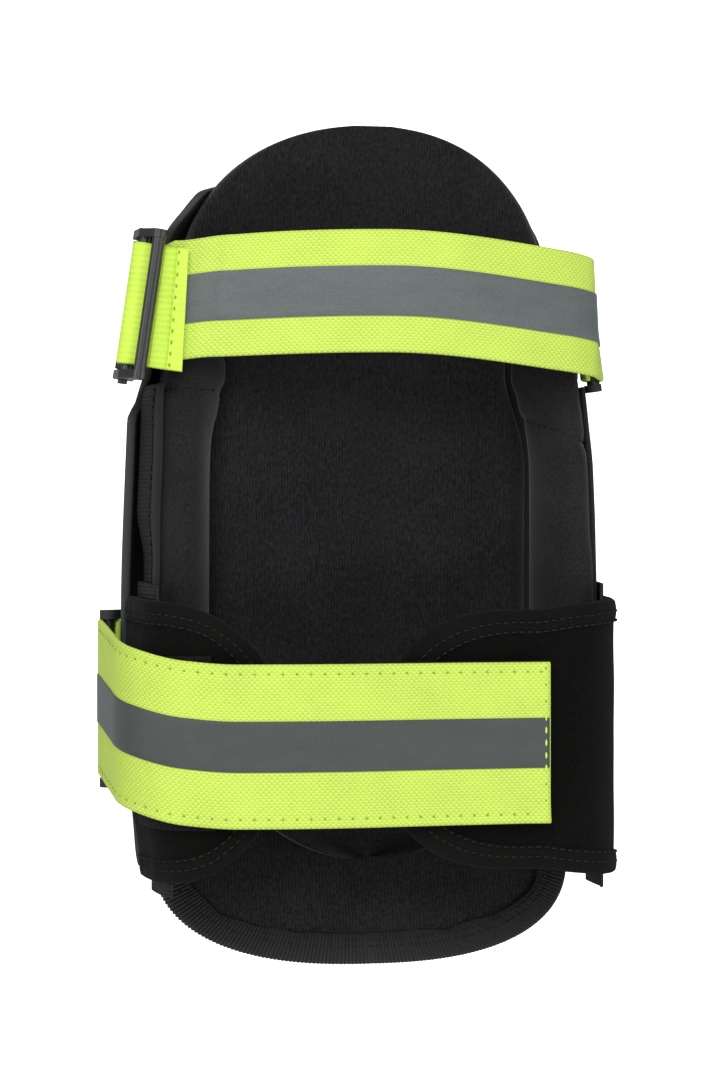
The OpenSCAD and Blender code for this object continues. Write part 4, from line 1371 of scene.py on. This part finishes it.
def build_stage():
    scene = bpy.context.scene
    floor = bpy.data.meshes.new("floor")
    corners = ((-4, -4), (4, -4), (4, 4), (-4, 4))
    floor.from_pydata([(x, y, FLOOR_Z) for x, y in corners], [], [(0, 1, 2, 3)])
    ground = bpy.data.objects.new("floor", floor)
    scene.collection.objects.link(ground)
    pale = Finish("floor_paper", Roughness=1.0, Specular_IOR_Level=0.0, Emission_Strength=1.0)
    whole = pale.place()[3]
    grain = pale.noise(whole, 40.0)
    pale.set("Base Color", pale.mix(grain, (0.80, 0.80, 0.80), (0.84, 0.84, 0.84)))
    pale.set("Emission Color", pale.mix(grain, (0.97, 0.97, 0.97), (1.0, 1.0, 1.0)))
    floor.materials.append(pale.material)
    ground.visible_diffuse = False
    ground.visible_glossy = False
    for name, place, aim, size, power in (
            ("key", (-0.35, 0.75, 1.15), (0, 0.02, 0.03), 0.9, 12),
            ("fill", (0.85, -0.2, 1.0), (0, 0, 0.03), 1.2, 7),
            ("left", (-1.25, 0.1, 0.55), (0, 0, 0.04), 0.9, 6),
            ("front", (-0.1, -0.9, 1.0), (0, -0.05, 0.03), 0.9, 6)):
        light = bpy.data.lights.new(name, "AREA")
        light.size = size
        light.energy = power
        lamp = bpy.data.objects.new(name, light)
        lamp.location = place
        lamp.rotation_euler = (Vector(aim) - Vector(place)).to_track_quat("-Z", "Y").to_euler()
        scene.collection.objects.link(lamp)
    world = scene.world or bpy.data.worlds.new("studio")
    scene.world = world
    world.use_nodes = True
    world.node_tree.nodes["Background"].inputs[0].default_value = (0.93, 0.96, 1.0, 1.0)
    world.node_tree.nodes["Background"].inputs[1].default_value = 0.34
    lens = bpy.data.cameras.new("camera")
    lens.lens = CAMERA_LENS
    lens.sensor_fit = "VERTICAL"
    lens.sensor_height = 36
    lens.clip_end = 20
    camera = bpy.data.objects.new("camera", lens)
    tilt = radians(CAMERA_TILT)
    turn = Matrix(((cos(tilt), 0, -sin(tilt)), (0, 1, 0), (sin(tilt), 0, cos(tilt)))).to_4x4()
    camera.matrix_world = Matrix.Translation(CAMERA_AT) @ turn
    scene.collection.objects.link(camera)
    scene.camera = camera
    scene.view_settings.view_transform = "Standard"


# ---- Operators, panel and registration ----

SEAMS = []


class KNEEPAD_OT_cap(bpy.types.Operator):
    """Moulded cap, and the finishes of the tread, board, foam core and gel"""
    bl_idname = "kneepad.cap"
    bl_label = "Cap"

    def execute(self, context):
        build_cap()
        return {"FINISHED"}


class KNEEPAD_OT_padding(bpy.types.Operator):
    """Knee cushion, shin pad and the ribbed binding round it"""
    bl_idname = "kneepad.padding"
    bl_label = "Padding"

    def execute(self, context):
        build_cushion()
        build_shin_panel()
        SEAMS.extend(build_binding())
        return {"FINISHED"}


class KNEEPAD_OT_rails(bpy.types.Operator):
    """Padded side rails"""
    bl_idname = "kneepad.rails"
    bl_label = "Rails"

    def execute(self, context):
        SEAMS.extend(build_rails())
        return {"FINISHED"}


class KNEEPAD_OT_walls(bpy.types.Operator):
    """Woven and smooth fabric over the side walls, and the seams of the body"""
    bl_idname = "kneepad.walls"
    bl_label = "Side walls"

    def execute(self, context):
        SEAMS.extend(build_side_walls())
        seams = stitches("body_stitches", SEAMS, finish("black_thread"), BODY_STITCH)
        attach(seams, "pad")
        return {"FINISHED"}


class KNEEPAD_OT_wings(bpy.types.Operator):
    """Both neoprene wings with their hems, corner pieces and loop patches"""
    bl_idname = "kneepad.wings"
    bl_label = "Wings"

    def execute(self, context):
        build_wings()
        return {"FINISHED"}


class KNEEPAD_OT_lower_strap(bpy.types.Operator):
    """Lower elastic strap with its tape and hook end"""
    bl_idname = "kneepad.lower_strap"
    bl_label = "Lower strap"

    def execute(self, context):
        build_lower_strap()
        return {"FINISHED"}


class KNEEPAD_OT_upper_strap(bpy.types.Operator):
    """Upper elastic strap, wrapped once round the slide, with its folded tail"""
    bl_idname = "kneepad.upper_strap"
    bl_label = "Upper strap"

    def execute(self, context):
        build_upper_strap()
        return {"FINISHED"}


class KNEEPAD_OT_hardware(bpy.types.Operator):
    """Finishes of the slide, lugs, bars and rivets"""
    bl_idname = "kneepad.hardware"
    bl_label = "Hardware"

    def execute(self, context):
        build_hardware()
        return {"FINISHED"}


class KNEEPAD_OT_stage(bpy.types.Operator):
    """Pale floor, soft lights and the camera"""
    bl_idname = "kneepad.stage"
    bl_label = "Stage"

    def execute(self, context):
        build_stage()
        return {"FINISHED"}


class KNEEPAD_PT_panel(bpy.types.Panel):
    """Sizes, colours and a button for each part of the knee pad"""
    bl_label = "Knee Pad"
    bl_idname = "KNEEPAD_PT_panel"
    bl_space_type = "VIEW_3D"
    bl_region_type = "UI"
    bl_category = "Knee Pad"

    def draw(self, context):
        for group in (context.scene.knee_pad_sizes, context.scene.knee_pad_colours):
            for name in group.__annotations__:
                self.layout.prop(group, name)
        for operator in OPERATORS:
            self.layout.operator(operator.bl_idname)


OPERATORS = (KNEEPAD_OT_cap, KNEEPAD_OT_padding, KNEEPAD_OT_rails, KNEEPAD_OT_walls, KNEEPAD_OT_wings,
             KNEEPAD_OT_lower_strap, KNEEPAD_OT_upper_strap, KNEEPAD_OT_hardware, KNEEPAD_OT_stage)
CLASSES = (KneePadSizes, KneePadColours, *OPERATORS, KNEEPAD_PT_panel)


def register():
    for cls in CLASSES:
        bpy.utils.register_class(cls)
    bpy.types.Scene.knee_pad_sizes = bpy.props.PointerProperty(type=KneePadSizes)
    bpy.types.Scene.knee_pad_colours = bpy.props.PointerProperty(type=KneePadColours)


def unregister():
    del bpy.types.Scene.knee_pad_colours
    del bpy.types.Scene.knee_pad_sizes
    for cls in reversed(CLASSES):
        bpy.utils.unregister_class(cls)


def main():
    register()
    for operator in OPERATORS:
        group, name = operator.bl_idname.split(".")
        getattr(getattr(bpy.ops, group), name)()
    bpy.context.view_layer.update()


if __name__ == "__main__":
    main()
